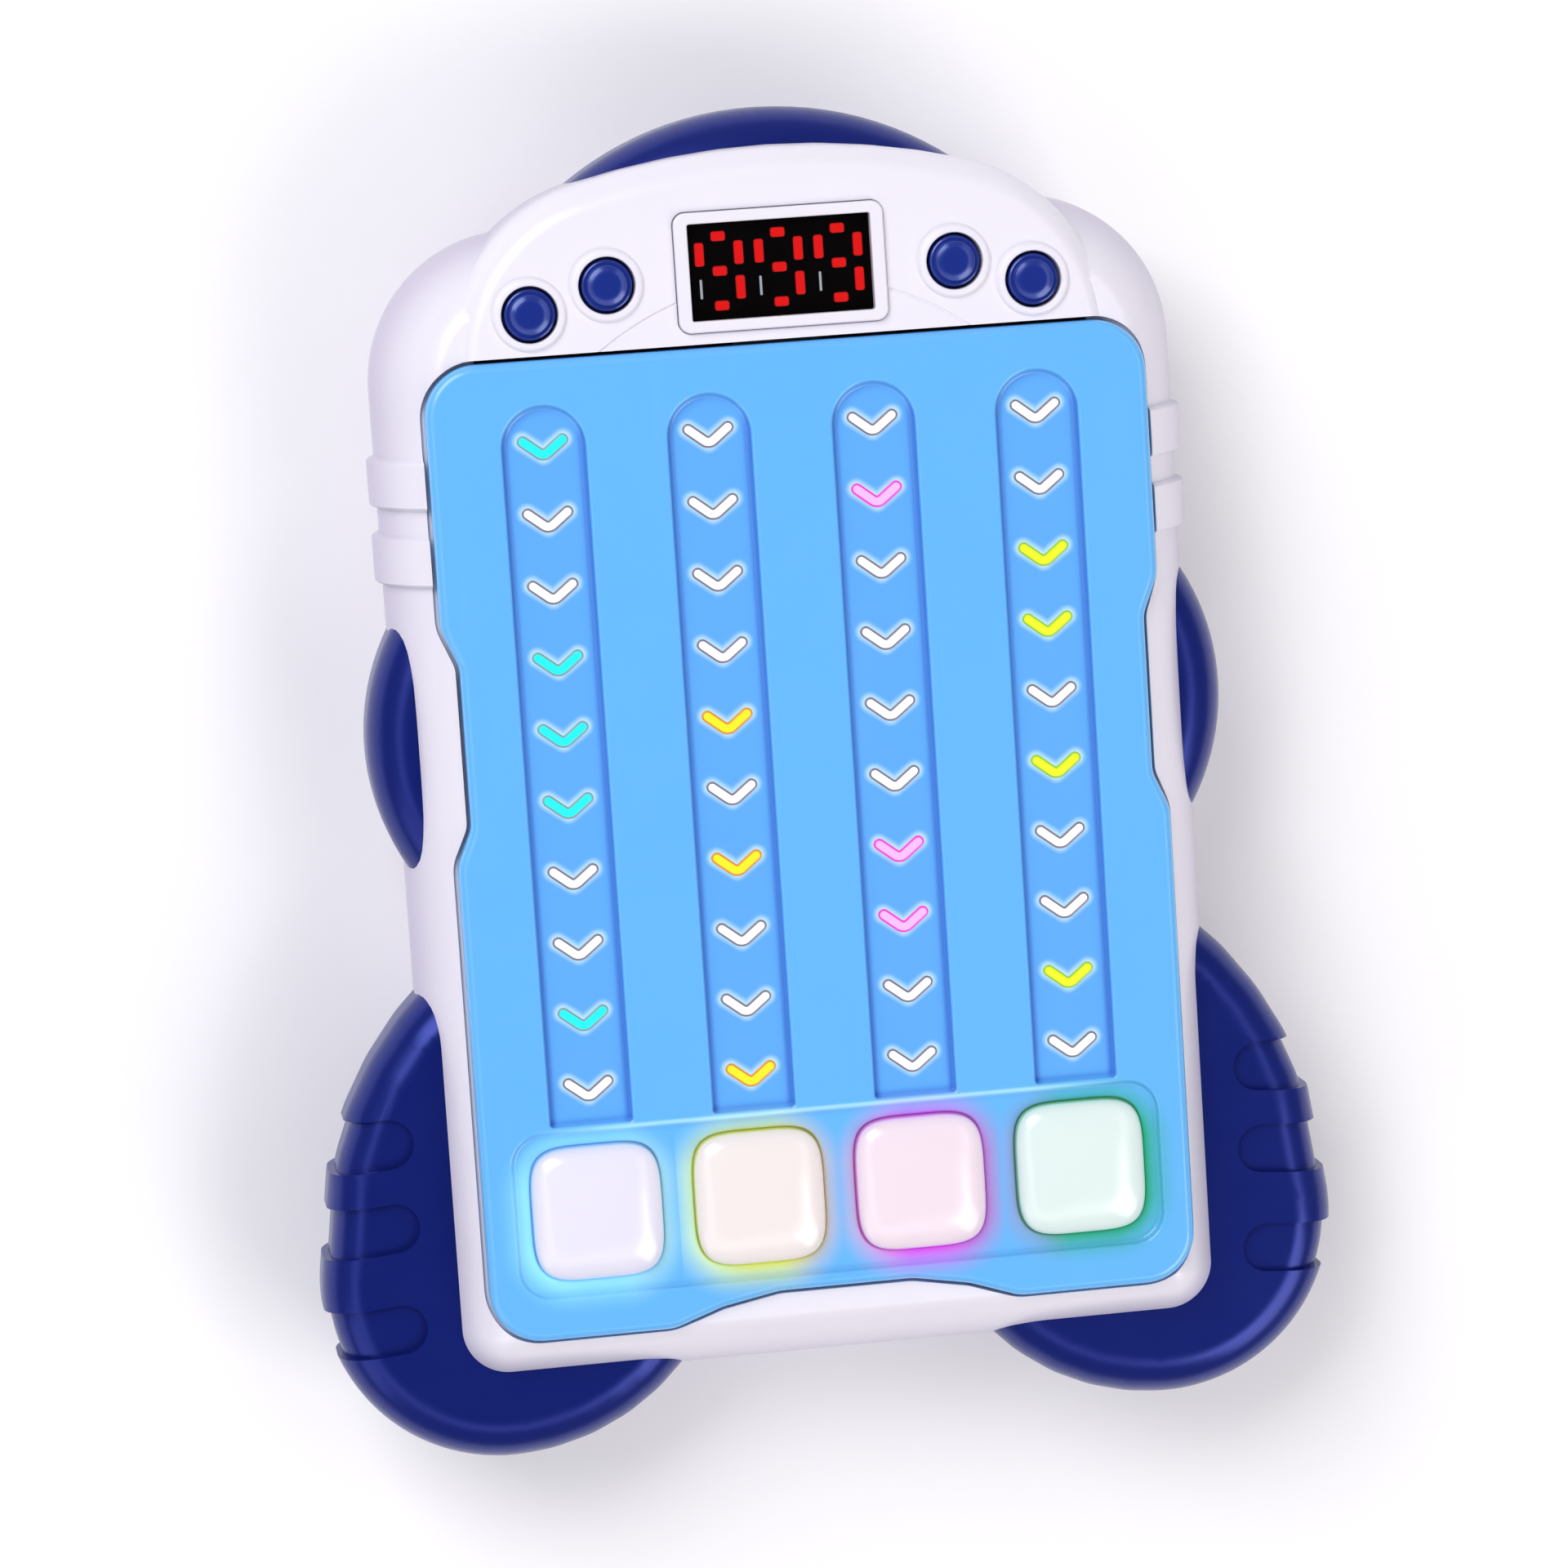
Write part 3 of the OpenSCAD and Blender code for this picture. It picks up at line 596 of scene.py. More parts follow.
class Effects:
    """The shared surface effects, each built once as a group with named sockets."""

    stroke_half = 0.8
    lane_edge = 7.2
    bed_edge = 13.35

    def __init__(self, layout: Layout) -> None:
        """Builds each shared effect once."""
        self.layout = layout
        self.moulding = self.make_moulding()
        self.wear = self.make_wear()
        self.brushing = self.make_brushing()
        self.arrows = self.make_arrow_halo()
        self.keys = self.make_key_glow()

    @staticmethod
    def start(name: str, inputs: dict[str, float | tuple[float, ...]],
              outputs: dict[str, str]) -> tuple[Wiring, bpy.types.Node, bpy.types.Node]:
        """Opens a new group.

        Args:
            name: the group's name.
            inputs: input names with their usual values.
            outputs: output names with their socket kinds.

        Returns:
            The wiring and the group's input and output nodes.
        """
        tree = bpy.data.node_groups.new(name, "ShaderNodeTree")
        for title, value in inputs.items():
            kind = "NodeSocketFloat" if isinstance(value, float) else "NodeSocketColor"
            tree.interface.new_socket(title, in_out="INPUT", socket_type=kind).default_value = value
        for title, kind in outputs.items():
            tree.interface.new_socket(title, in_out="OUTPUT", socket_type=kind)
        wiring = Wiring(tree)
        return wiring, wiring.node("NodeGroupInput"), wiring.node("NodeGroupOutput")

    @classmethod
    def make_moulding(cls) -> bpy.types.NodeTree:
        """Fine moulded skin: drifting tone, uneven gloss and a faint texture."""
        inputs = {"Colour": (0.8, 0.8, 0.8, 1.0), "Tone": 0.05, "Gloss": 0.3, "Grain Scale": 900.0,
                  "Spread": 0.08}
        outputs = {"Colour": "NodeSocketColor", "Roughness": "NodeSocketFloat", "Height": "NodeSocketFloat"}
        w, source, sink = cls.start("moulded_skin", inputs, outputs)
        place = w.node("ShaderNodeTexCoord").outputs["Object"]
        drift = w.noise(place, 38.0, 2.0)
        grain = w.noise(place, source.outputs["Grain Scale"], 2.0)
        shade = w.blend(0.5, source.outputs["Colour"], source.outputs["Colour"], "MULTIPLY")
        share = w.math("MULTIPLY", w.math("MULTIPLY", drift, source.outputs["Tone"]), 4.0, clamp=True)
        w.feed(sink.inputs["Colour"], w.blend(share, source.outputs["Colour"], shade))
        cloud = w.math("SUBTRACT", w.noise(place, 120.0), 0.5)
        uneven = w.math("MULTIPLY", cloud, source.outputs["Spread"])
        w.feed(sink.inputs["Roughness"], w.math("ADD", source.outputs["Gloss"], uneven, clamp=True))
        w.feed(sink.inputs["Height"], grain)
        return w.tree

    @classmethod
    def make_wear(cls) -> bpy.types.NodeTree:
        """Hairline rubbing: thin streaks that dull the gloss a little."""
        inputs = {"Amount": 0.1, "Scale": 260.0}
        w, source, sink = cls.start("rub_marks", inputs, {"Mask": "NodeSocketFloat"})
        place = w.node("ShaderNodeTexCoord").outputs["Object"]
        turned = w.node("ShaderNodeMapping")
        w.feed(turned.inputs["Vector"], place)
        turned.inputs["Rotation"].default_value = (0.0, 0.0, 0.6)
        turned.inputs["Scale"].default_value = (1.0, 0.06, 1.0)
        streak = w.noise(turned.outputs["Vector"], source.outputs["Scale"], 4.0)
        thin = w.fade(streak, 0.62, 0.72)
        w.feed(sink.inputs["Mask"], w.math("MULTIPLY", thin, source.outputs["Amount"]))
        return w.tree

    @classmethod
    def make_brushing(cls) -> bpy.types.NodeTree:
        """Fine drawn lines on bare metal."""
        inputs = {"Colour": (0.6, 0.6, 0.6, 1.0), "Gloss": 0.3}
        outputs = {"Colour": "NodeSocketColor", "Roughness": "NodeSocketFloat", "Height": "NodeSocketFloat"}
        w, source, sink = cls.start("drawn_metal", inputs, outputs)
        place = w.node("ShaderNodeTexCoord").outputs["Object"]
        stretched = w.node("ShaderNodeMapping")
        w.feed(stretched.inputs["Vector"], place)
        stretched.inputs["Scale"].default_value = (1.0, 14.0, 14.0)
        line = w.noise(stretched.outputs["Vector"], 420.0, 3.0)
        dark = w.blend(0.35, source.outputs["Colour"], (0.1, 0.1, 0.1, 1.0))
        w.feed(sink.inputs["Colour"], w.blend(line, source.outputs["Colour"], dark))
        w.feed(sink.inputs["Roughness"], w.math("MULTIPLY_ADD", line, 0.25, source.outputs["Gloss"]))
        w.feed(sink.inputs["Height"], line)
        return w.tree

    def grid_place(self, w: Wiring) -> tuple[bpy.types.NodeSocket, ...]:
        """Object position in millimetres from the top row of arrows.

        Args:
            w: the tree that needs it.

        Returns:
            x within its lane, y, z, and x over the whole plate.
        """
        x, y, z = (w.math("DIVIDE", along, MM) for along in w.position())
        y = w.math("SUBTRACT", y, self.layout.row_zero)
        pitch = self.layout.lane_pitch
        lane = w.math("FLOOR", w.math("DIVIDE", x, pitch))
        lane = w.math("MINIMUM", w.math("MAXIMUM", lane, -LANES / 2), LANES / 2 - 1)
        within = w.math("SUBTRACT", x, w.math("MULTIPLY", w.math("ADD", lane, 0.5), pitch))
        return within, y, z, x

    def make_arrow_halo(self) -> bpy.types.NodeTree:
        """Painted light spilled round every arrow, and painted shade along the sides of a lane."""
        inputs = {"Spill": 1.1, "Arm Across": 3.2, "Arm Up": 1.15}
        outputs = dict.fromkeys(("Halo", "Lane Shade", "Lane Mask"), "NodeSocketFloat")
        w, source, sink = self.start("arrow_halo", inputs, outputs)
        across, y, z, _ = self.grid_place(w)
        pitch = self.layout.row_pitch
        row = w.math("ROUND", w.math("DIVIDE", y, pitch))
        up = w.math("SUBTRACT", y, w.math("MULTIPLY", row, pitch))
        wide = w.math("ABSOLUTE", across)
        arm_x, arm_y = source.outputs["Arm Across"], w.math("MULTIPLY", source.outputs["Arm Up"], 2.0)
        above = w.math("ADD", up, source.outputs["Arm Up"])
        along = w.math("ADD", w.math("MULTIPLY", wide, arm_x), w.math("MULTIPLY", above, arm_y))
        length = w.squares(arm_x, arm_y)
        share = w.math("DIVIDE", along, length, clamp=True)
        off_x = w.math("SUBTRACT", wide, w.math("MULTIPLY", share, arm_x))
        off_y = w.math("SUBTRACT", above, w.math("MULTIPLY", share, arm_y))
        away = w.math("SUBTRACT", w.math("SQRT", w.squares(off_x, off_y)), self.stroke_half)
        near = w.math("SUBTRACT", 1.0, w.math("DIVIDE", away, source.outputs["Spill"]))
        last = self.layout.key_row + 14.0
        rows = w.math("MULTIPLY", w.math("GREATER_THAN", y, last), w.math("LESS_THAN", y, pitch / 2))
        sunk = w.math("LESS_THAN", z, self.layout.plate_top - 0.7)
        soft = w.math("POWER", w.math("MULTIPLY", near, 1.0, clamp=True), 1.4)
        halo = w.math("MULTIPLY", soft, w.math("MULTIPLY", rows, sunk))
        ends = w.math("MULTIPLY", w.math("GREATER_THAN", y, last), w.math("LESS_THAN", y, self.lane_edge))
        in_lane = w.math("MULTIPLY", w.math("LESS_THAN", wide, self.lane_edge), ends)
        low = w.fade(z, self.layout.plate_top - 0.05, self.layout.plate_top - 0.5)
        w.feed(sink.inputs["Halo"], halo)
        shade = w.math("MULTIPLY", w.fade(wide, 5.0, 6.4), w.math("MULTIPLY", in_lane, low))
        w.feed(sink.inputs["Lane Shade"], shade)
        w.feed(sink.inputs["Lane Mask"], w.math("MULTIPLY", in_lane, sunk))
        return w.tree

    def make_key_glow(self) -> bpy.types.NodeTree:
        """Painted coloured light round the four keys, and a painted highlight line along the upper edge of
        their bed.
        """
        inputs = {"Reach": 5.3, "Half Wide": 10.3, "Half Long": 10.6, "Corner": 6.4, "Drift": 0.7}
        outputs = {"Colour": "NodeSocketColor", "Strength": "NodeSocketFloat",
                   "Edge Line": "NodeSocketFloat"}
        w, source, sink = self.start("key_glow", inputs, outputs)
        across, y, _, x = self.grid_place(w)
        corner = source.outputs["Corner"]
        drift = w.math("MULTIPLY", w.math("SIGN", x), source.outputs["Drift"])
        aside = w.math("SUBTRACT", across, drift)
        below = w.math("ADD", w.math("SUBTRACT", y, self.layout.key_row), source.outputs["Drift"])
        sides = []
        for value, half in ((aside, "Half Wide"), (below, "Half Long")):
            inner = w.math("SUBTRACT", source.outputs[half], corner)
            sides.append(w.math("MAXIMUM", w.math("SUBTRACT", w.math("ABSOLUTE", value), inner), 0.0))
        away = w.math("SUBTRACT", w.math("SQRT", w.squares(*sides)), corner)
        near = w.math("SUBTRACT", 1.0, w.math("DIVIDE", away, source.outputs["Reach"]), clamp=True)
        strength = w.math("POWER", near, 1.7)
        ramp = w.node("ShaderNodeValToRGB")
        colours = [(0.3, 0.75, 1.0, 1.0), (0.72, 0.75, 0.05, 1.0), (0.72, 0.03, 0.72, 1.0),
                   (0.0, 0.34, 0.1, 1.0)]
        stops = ramp.color_ramp.elements
        while len(stops) < 2 * LANES:
            stops.new(1.0)
        for k, stop in enumerate(stops):
            stop.position = (k // 2 + (0.42, 0.6)[k % 2]) / LANES
            stop.color = colours[k // 2]
        full = LANES * self.layout.lane_pitch
        w.feed(ramp.inputs[0], w.math("MULTIPLY_ADD", x, 1 / full, 0.5))
        w.feed(sink.inputs["Colour"], ramp.outputs["Color"])
        w.feed(sink.inputs["Strength"], strength)
        off = w.math("ABSOLUTE", w.math("SUBTRACT", y, self.layout.key_row + self.bed_edge))
        ends = w.fade(w.math("ABSOLUTE", x), 49.0, 30.0)
        w.feed(sink.inputs["Edge Line"], w.math("MULTIPLY", w.fade(off, 0.75, 0.1), ends))
        return w.tree


# ---------------------------------------------------------------- finishes


@dataclass(frozen=True)
class Plastic:
    """Moulded plastic, rubber or resin."""

    name: str
    colour: tuple[float, ...]
    gloss: float = 0.3
    tone: float = 0.05
    grain: float = 900.0
    relief: float = 0.02
    spread: float = 0.08
    coat: float = 0.0
    rub: float = 0.08
    alpha: float = 1.0
    shine: float = 0.5
    tint: tuple[float, ...] = (1.0, 1.0, 1.0, 1.0)

    def shader(self) -> tuple[bpy.types.Material, Wiring, bpy.types.Node]:
        """Starts the material with a principled shader."""
        material = bpy.data.materials.new(self.name)
        material.use_nodes = True
        material.diffuse_color = self.colour
        w = Wiring(material.node_tree)
        surface = material.node_tree.nodes["Principled BSDF"]
        surface.inputs["Coat Weight"].default_value = self.coat
        surface.inputs["Coat Roughness"].default_value = 0.06
        surface.inputs["Alpha"].default_value = self.alpha
        surface.inputs["Specular IOR Level"].default_value = self.shine
        surface.inputs["Specular Tint"].default_value = self.tint
        return material, w, surface

    def colouring(self, w: Wiring, effects: Effects) -> Value:
        """Colour before the moulded skin's own drift is laid over it."""
        return self.colour

    def make(self, effects: Effects) -> bpy.types.Material:
        """Builds the material.

        Args:
            effects: the shared surface effects.

        Returns:
            The finished material.
        """
        material, w, surface = self.shader()
        skin = w.use(effects.moulding, Colour=self.colouring(w, effects), Tone=self.tone, Gloss=self.gloss,
                     Grain_Scale=self.grain, Spread=self.spread)
        marks = w.use(effects.wear, Amount=self.rub)
        w.feed(surface.inputs["Base Color"], skin.outputs["Colour"])
        gloss = w.math("ADD", skin.outputs["Roughness"], marks.outputs["Mask"], clamp=True)
        w.feed(surface.inputs["Roughness"], gloss)
        bump = w.node("ShaderNodeBump")
        bump.inputs["Strength"].default_value = self.relief
        bump.inputs["Distance"].default_value = 0.0004
        w.feed(bump.inputs["Height"], skin.outputs["Height"])
        w.feed(surface.inputs["Normal"], bump.outputs["Normal"])
        self.light(w, surface, effects)
        return material

    def light(self, w: Wiring, surface: bpy.types.Node, effects: Effects) -> None:
        """Adds the finish's own light, if it has one."""


@dataclass(frozen=True)
class ShellPlastic(Plastic):
    """White casing plastic with painted shade: darker lavender grey towards the table."""

    # painted shade: the lavender grey that the lower sides of the shell are darkened to, between low_z and
    # high_z
    deep: tuple[float, ...] = linear(198, 190, 212)
    low_z: float = 22.0
    high_z: float = 40.5

    def colouring(self, w: Wiring, effects: Effects) -> Value:
        """White above, painted lavender grey shade below."""
        up = w.position()[2]
        return w.blend(w.fade(up, self.low_z * MM, self.high_z * MM), self.deep, self.colour)


@dataclass(frozen=True)
class PlatePlastic(Plastic):
    """Light blue plate with painted shade in the lanes, painted light round the arrows and painted coloured
    light round the keys.
    """

    # painted shade along the sides of the lanes
    side: tuple[float, ...] = linear(78, 142, 230)
    # painted shade: lane floors a little darker than the plate
    floor: tuple[float, ...] = linear(97, 177, 250)
    # painted light spilled round the arrows
    halo: tuple[float, ...] = linear(190, 226, 255)

    def colouring(self, w: Wiring, effects: Effects) -> Value:
        """Plate blue with painted shade: lane floors a little darker and darker still towards the lane
        sides; painted light round the arrows and the keys.
        """
        grid = w.use(effects.arrows)
        floor = w.blend(grid.outputs["Lane Mask"], self.colour, self.floor)
        shaded = w.blend(grid.outputs["Lane Shade"], floor, self.side)
        lit = w.blend(grid.outputs["Halo"], shaded, self.halo)
        glow = w.use(effects.keys)
        return w.blend(w.math("MULTIPLY", glow.outputs["Strength"], 0.8), lit, glow.outputs["Colour"])

    def light(self, w: Wiring, surface: bpy.types.Node, effects: Effects) -> None:
        """Painted light from round the arrows and the keys, and a painted highlight line along the upper
        edge of the key bed.
        """
        grid = w.use(effects.arrows)
        glow = w.use(effects.keys)
        # painted light: white glow round the arrows
        white = w.blend(grid.outputs["Halo"], (0, 0, 0, 1), (0.22, 0.3, 0.34, 1))
        near = w.math("MULTIPLY", glow.outputs["Strength"], 0.5)
        colour = w.blend(near, white, glow.outputs["Colour"])
        # painted highlight: a bright line along the key bed's upper edge
        line = w.math("MULTIPLY", glow.outputs["Edge Line"], 0.7)
        w.feed(surface.inputs["Emission Color"], w.blend(line, colour, (0.75, 0.95, 1.0, 1.0)))
        surface.inputs["Emission Strength"].default_value = 0.55


@dataclass(frozen=True)
class ArrowPlastic(Plastic):
    """Milky arrow, lit in its lane's colour where the mesh says so, with a thin dark edge."""

    glow: tuple[float, ...] = (1.0, 1.0, 1.0)
    edge: tuple[float, ...] = (0.2, 0.2, 0.2, 1.0)

    def colouring(self, w: Wiring, effects: Effects) -> Value:
        """White or the lane's colour, darker at the edge."""
        lit, rim = w.fact("lit"), w.fact("rim")
        body = w.blend(lit, self.colour, (*self.glow, 1.0))
        plain = (0.17, 0.15, 0.18, 1.0)
        return w.blend(w.fade(rim, 0.25, 0.8), body, w.blend(lit, plain, self.edge))

    def light(self, w: Wiring, surface: bpy.types.Node, effects: Effects) -> None:
        """Even light over the arrow's face, painted on the unlit arrows too."""
        w.feed(surface.inputs["Emission Color"], self.colouring(w, effects))
        surface.inputs["Emission Strength"].default_value = 0.3


@dataclass(frozen=True)
class KeyPlastic(Plastic):
    """Milky key cap that carries its own light, with its lane's glow painted in colour at its foot."""

    foot_tint: tuple[float, ...] = (1.0, 1.0, 1.0, 1.0)
    foot_z: float = 39.6
    glow_rise: float = 2.0

    def rise(self, w: Wiring) -> bpy.types.NodeSocket:
        """Mask that is 1 at the cap's foot and 0 on its crown."""
        return w.fade(w.position()[2], (self.foot_z + self.glow_rise) * MM, self.foot_z * MM)

    def colouring(self, w: Wiring, effects: Effects) -> Value:
        """Cap colour with the lane's glow painted near its foot."""
        return w.blend(self.rise(w), self.colour, self.foot_tint)

    def light(self, w: Wiring, surface: bpy.types.Node, effects: Effects) -> None:
        """Soft light through the cap."""
        w.feed(surface.inputs["Emission Color"], self.colouring(w, effects))
        surface.inputs["Emission Strength"].default_value = 0.06


@dataclass(frozen=True)
class SegmentResin(Plastic):
    """Bars of the figures: red light where lit, a painted grey glow where not, brighter along the middle.
    """

    def light(self, w: Wiring, surface: bpy.types.Node, effects: Effects) -> None:
        """Red light from the lit bars and a painted grey glow from the unlit ones."""
        lit, rim = w.fact("lit"), w.fact("rim")
        red = w.blend(rim, (0.9, 0.002, 0.002, 1.0), (0.3, 0.0, 0.0, 1.0))
        w.feed(surface.inputs["Emission Color"], w.blend(lit, (0.42, 0.47, 0.52, 1.0), red))
        surface.inputs["Emission Strength"].default_value = 1.5


@dataclass(frozen=True)
class Metal:
    """Bare or plated metal with drawn lines."""

    name: str
    colour: tuple[float, ...]
    gloss: float = 0.28

    def make(self, effects: Effects) -> bpy.types.Material:
        """Builds the material.

        Args:
            effects: the shared surface effects.

        Returns:
            The finished material.
        """
        material = bpy.data.materials.new(self.name)
        material.use_nodes = True
        material.diffuse_color = self.colour
        w = Wiring(material.node_tree)
        surface = material.node_tree.nodes["Principled BSDF"]
        surface.inputs["Metallic"].default_value = 1.0
        drawn = w.use(effects.brushing, Colour=self.colour, Gloss=self.gloss)
        w.feed(surface.inputs["Base Color"], drawn.outputs["Colour"])
        w.feed(surface.inputs["Roughness"], drawn.outputs["Roughness"])
        bump = w.node("ShaderNodeBump")
        bump.inputs["Strength"].default_value = 0.05
        bump.inputs["Distance"].default_value = 0.0002
        w.feed(bump.inputs["Height"], drawn.outputs["Height"])
        w.feed(surface.inputs["Normal"], bump.outputs["Normal"])
        return material


class Paintbox:
    """Every finish of the toy, made once and found by name."""

    def __init__(self, effects: Effects) -> None:
        """Makes every material of the toy."""
        glows = {glow.name.lower(): glow.value for glow in Glow}
        edges = {"cyan": (0.16, 0.3, 0.3, 1.0), "gold": (0.62, 0.24, 0.02, 1.0),
                 "pink": (0.8, 0.03, 0.5, 1.0), "lime": (0.25, 0.5, 0.02, 1.0)}
        # painted glow: the lane's light colour laid on the foot of each key cap
        painted_foot_glows = {"cyan": linear(200, 225, 250), "gold": linear(240, 232, 150),
                 "pink": linear(240, 170, 235), "lime": linear(160, 225, 185)}
        caps = {"cyan": linear(232, 230, 244), "gold": linear(241, 233, 229), "pink": linear(242, 226, 235),
                "lime": linear(224, 240, 234)}
        finishes: list[Plastic | Metal] = [
            ShellPlastic("shell_white", linear(240, 237, 245), 0.32, 0.03, 1400.0, 0.012, coat=0.15),
            PlatePlastic("plate_blue", linear(102, 188, 250), 0.34, 0.03, 1500.0, 0.012, coat=0.5),
            Plastic("navy_plastic", linear(16, 30, 106), 0.26, 0.06, 1300.0, 0.015, shine=1.0, rub=0.0,
                    tint=(0.2, 0.26, 1.0, 1.0)),
            Plastic("button_navy", linear(24, 46, 136), 0.2, 0.04, 1300.0, 0.01, shine=1.0, rub=0.03,
                    tint=(0.5, 0.6, 1.0, 1.0)),
            Plastic("silicone", (0.55, 0.55, 0.55, 1.0), 0.6, 0.08, 700.0, 0.05),
            Plastic("window_tint", (0.002, 0.001, 0.001, 1.0), 0.08, 0.02, 600.0, 0.0, alpha=0.25,
                    shine=0.15),
            Plastic("board_green", (0.02, 0.18, 0.08, 1.0), 0.4, 0.14, 500.0, 0.05),
            Plastic("ribbon_grey", (0.42, 0.42, 0.44, 1.0), 0.5, 0.1, 900.0, 0.05),
            Plastic("led_body", (0.85, 0.82, 0.62, 1.0), 0.25, 0.05),
            Plastic("chip_black", (0.02, 0.02, 0.021, 1.0), 0.55, 0.2, 1600.0, 0.1),
            Plastic("can_blue", (0.05, 0.07, 0.25, 1.0), 0.32, 0.1),
            Plastic("display_black", (0.0015, 0.0015, 0.0018, 1.0), 0.4, 0.05, shine=0.08),
            SegmentResin("segment_red", (0.05, 0.02, 0.02, 1.0), 0.3, 0.05),
            Plastic("speaker_frame", (0.05, 0.05, 0.055, 1.0), 0.45, 0.1, 900.0, 0.08),
            Plastic("speaker_paper", (0.03, 0.03, 0.032, 1.0), 0.9, 0.2, 1500.0, 0.3),
            Plastic("lead_wire", (0.5, 0.02, 0.02, 1.0), 0.45, 0.1),
            Plastic("cell_jacket", (0.03, 0.24, 0.08, 1.0), 0.3, 0.1, 700.0, 0.02),
            Plastic("foot_rubber", (0.025, 0.025, 0.028, 1.0), 0.8, 0.15, 1200.0, 0.2),
            Metal("magnet_steel", (0.5, 0.5, 0.52, 1.0), 0.35),
            Metal("screw_steel", (0.55, 0.55, 0.57, 1.0), 0.25),
            Metal("contact_metal", (0.66, 0.65, 0.6, 1.0), 0.22),
        ]
        for name, glow in glows.items():
            finishes += [ArrowPlastic(f"arrow_{name}", (0.9, 0.89, 0.93, 1.0), 0.35, 0.02, relief=0.0,
                                      rub=0.0, glow=glow, edge=edges[name]),
                         KeyPlastic(f"key_{name}", caps[name], 0.2, 0.03, relief=0.004, coat=0.3,
                                    rub=0.02, foot_tint=painted_foot_glows[name])]
        self.materials = {finish.name: finish.make(effects) for finish in finishes}

    def __getitem__(self, name: str) -> bpy.types.Material:
        """A material by its name."""
        return self.materials[name]


# ---------------------------------------------------------------- making pieces


@dataclass
class Bench:
    """Everything a sub-assembly needs to turn its forms into finished pieces."""

    layout: Layout
    paints: Paintbox
    pieces: list[str] = field(default_factory=list)

    def finish(self, name: str, form: Form, paint: str, body: str, *nodes: str,
               slot: str = "", crease: float = 31.0) -> bpy.types.Object:
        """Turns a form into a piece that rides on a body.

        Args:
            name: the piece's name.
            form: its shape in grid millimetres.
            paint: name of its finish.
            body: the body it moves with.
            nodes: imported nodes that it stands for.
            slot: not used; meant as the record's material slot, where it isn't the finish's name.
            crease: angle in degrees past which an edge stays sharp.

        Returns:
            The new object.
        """
        mesh = form.merged().mesh
        mesh.transform(self.layout.to_frame())
        return self.place(name, mesh, paint, body, *nodes, slot=slot, crease=crease)

    def place(self, name: str, mesh: bpy.types.Mesh, paint: str, body: str, *nodes: str,
              slot: str = "", crease: float = 31.0) -> bpy.types.Object:
        """Makes an object of a mesh that is already in the shared frame; arguments as for finish."""
        mesh.name = name
        mesh.materials.clear()
        mesh.materials.append(self.paints[paint])
        mesh.polygons.foreach_set("use_smooth", [True] * len(mesh.polygons))
        mesh.set_sharp_from_angle(angle=math.radians(crease))
        piece = bpy.data.objects.new(name, mesh)
        bpy.context.scene.collection.objects.link(piece)
        even = piece.modifiers.new("even_shading", "WEIGHTED_NORMAL")
        even.keep_sharp = True
        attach(piece, body)
        if nodes:
            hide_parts(*nodes)
        self.pieces.append(name)
        LOG.info("%s rides on %s, %d faces", name, body, len(mesh.polygons))
        return piece


class Pattern:
    """A Geometry Nodes tree that repeats one small shape, run once and baked into a plain mesh."""

    def __init__(self, name: str, sizes: dict[str, Size]) -> None:
        """Opens a geometry tree with one named input a size."""
        self.tree = bpy.data.node_groups.new(name, "GeometryNodeTree")
        self.wiring = Wiring(self.tree)
        self.sizes = sizes
        kinds = {float: "NodeSocketFloat", int: "NodeSocketInt", bpy.types.Object: "NodeSocketObject",
                 bpy.types.Material: "NodeSocketMaterial"}
        self.identifiers: dict[str, str] = {}
        for title, value in sizes.items():
            socket = self.tree.interface.new_socket(title, in_out="INPUT", socket_type=kinds[type(value)])
            self.identifiers[title] = socket.identifier
        self.tree.interface.new_socket("Geometry", in_out="OUTPUT", socket_type="NodeSocketGeometry")
        self.source = self.wiring.node("NodeGroupInput")
        self.sink = self.wiring.node("NodeGroupOutput")

    def size(self, title: str) -> bpy.types.NodeSocket:
        """One of the tree's named inputs."""
        return self.source.outputs[title]

    def close(self, geometry: bpy.types.NodeSocket) -> None:
        """Ends the tree with real geometry in its material."""
        real = self.wiring.node("GeometryNodeRealizeInstances")
        dress = self.wiring.node("GeometryNodeSetMaterial")
        self.wiring.feed(real.inputs[0], geometry)
        self.wiring.feed(dress.inputs["Geometry"], real.outputs[0])
        self.wiring.feed(dress.inputs["Material"], self.size("Material"))
        self.wiring.feed(self.sink.inputs[0], dress.outputs[0])

    def bake(self) -> bpy.types.Mesh:
        """Runs the tree.

        Returns:
            A plain mesh of everything it made.
        """
        carrier = bpy.data.objects.new("pattern", bpy.data.meshes.new("pattern"))
        step = carrier.modifiers.new("pattern", "NODES")
        step.node_group = self.tree
        for title, value in self.sizes.items():
            step[self.identifiers[title]] = value
        bpy.context.scene.collection.objects.link(carrier)
        graph = bpy.context.evaluated_depsgraph_get()
        mesh = bpy.data.meshes.new_from_object(carrier.evaluated_get(graph))
        carrier.modifiers.clear()
        bpy.data.objects.remove(carrier)
        return mesh


# ---------------------------------------------------------------- casing


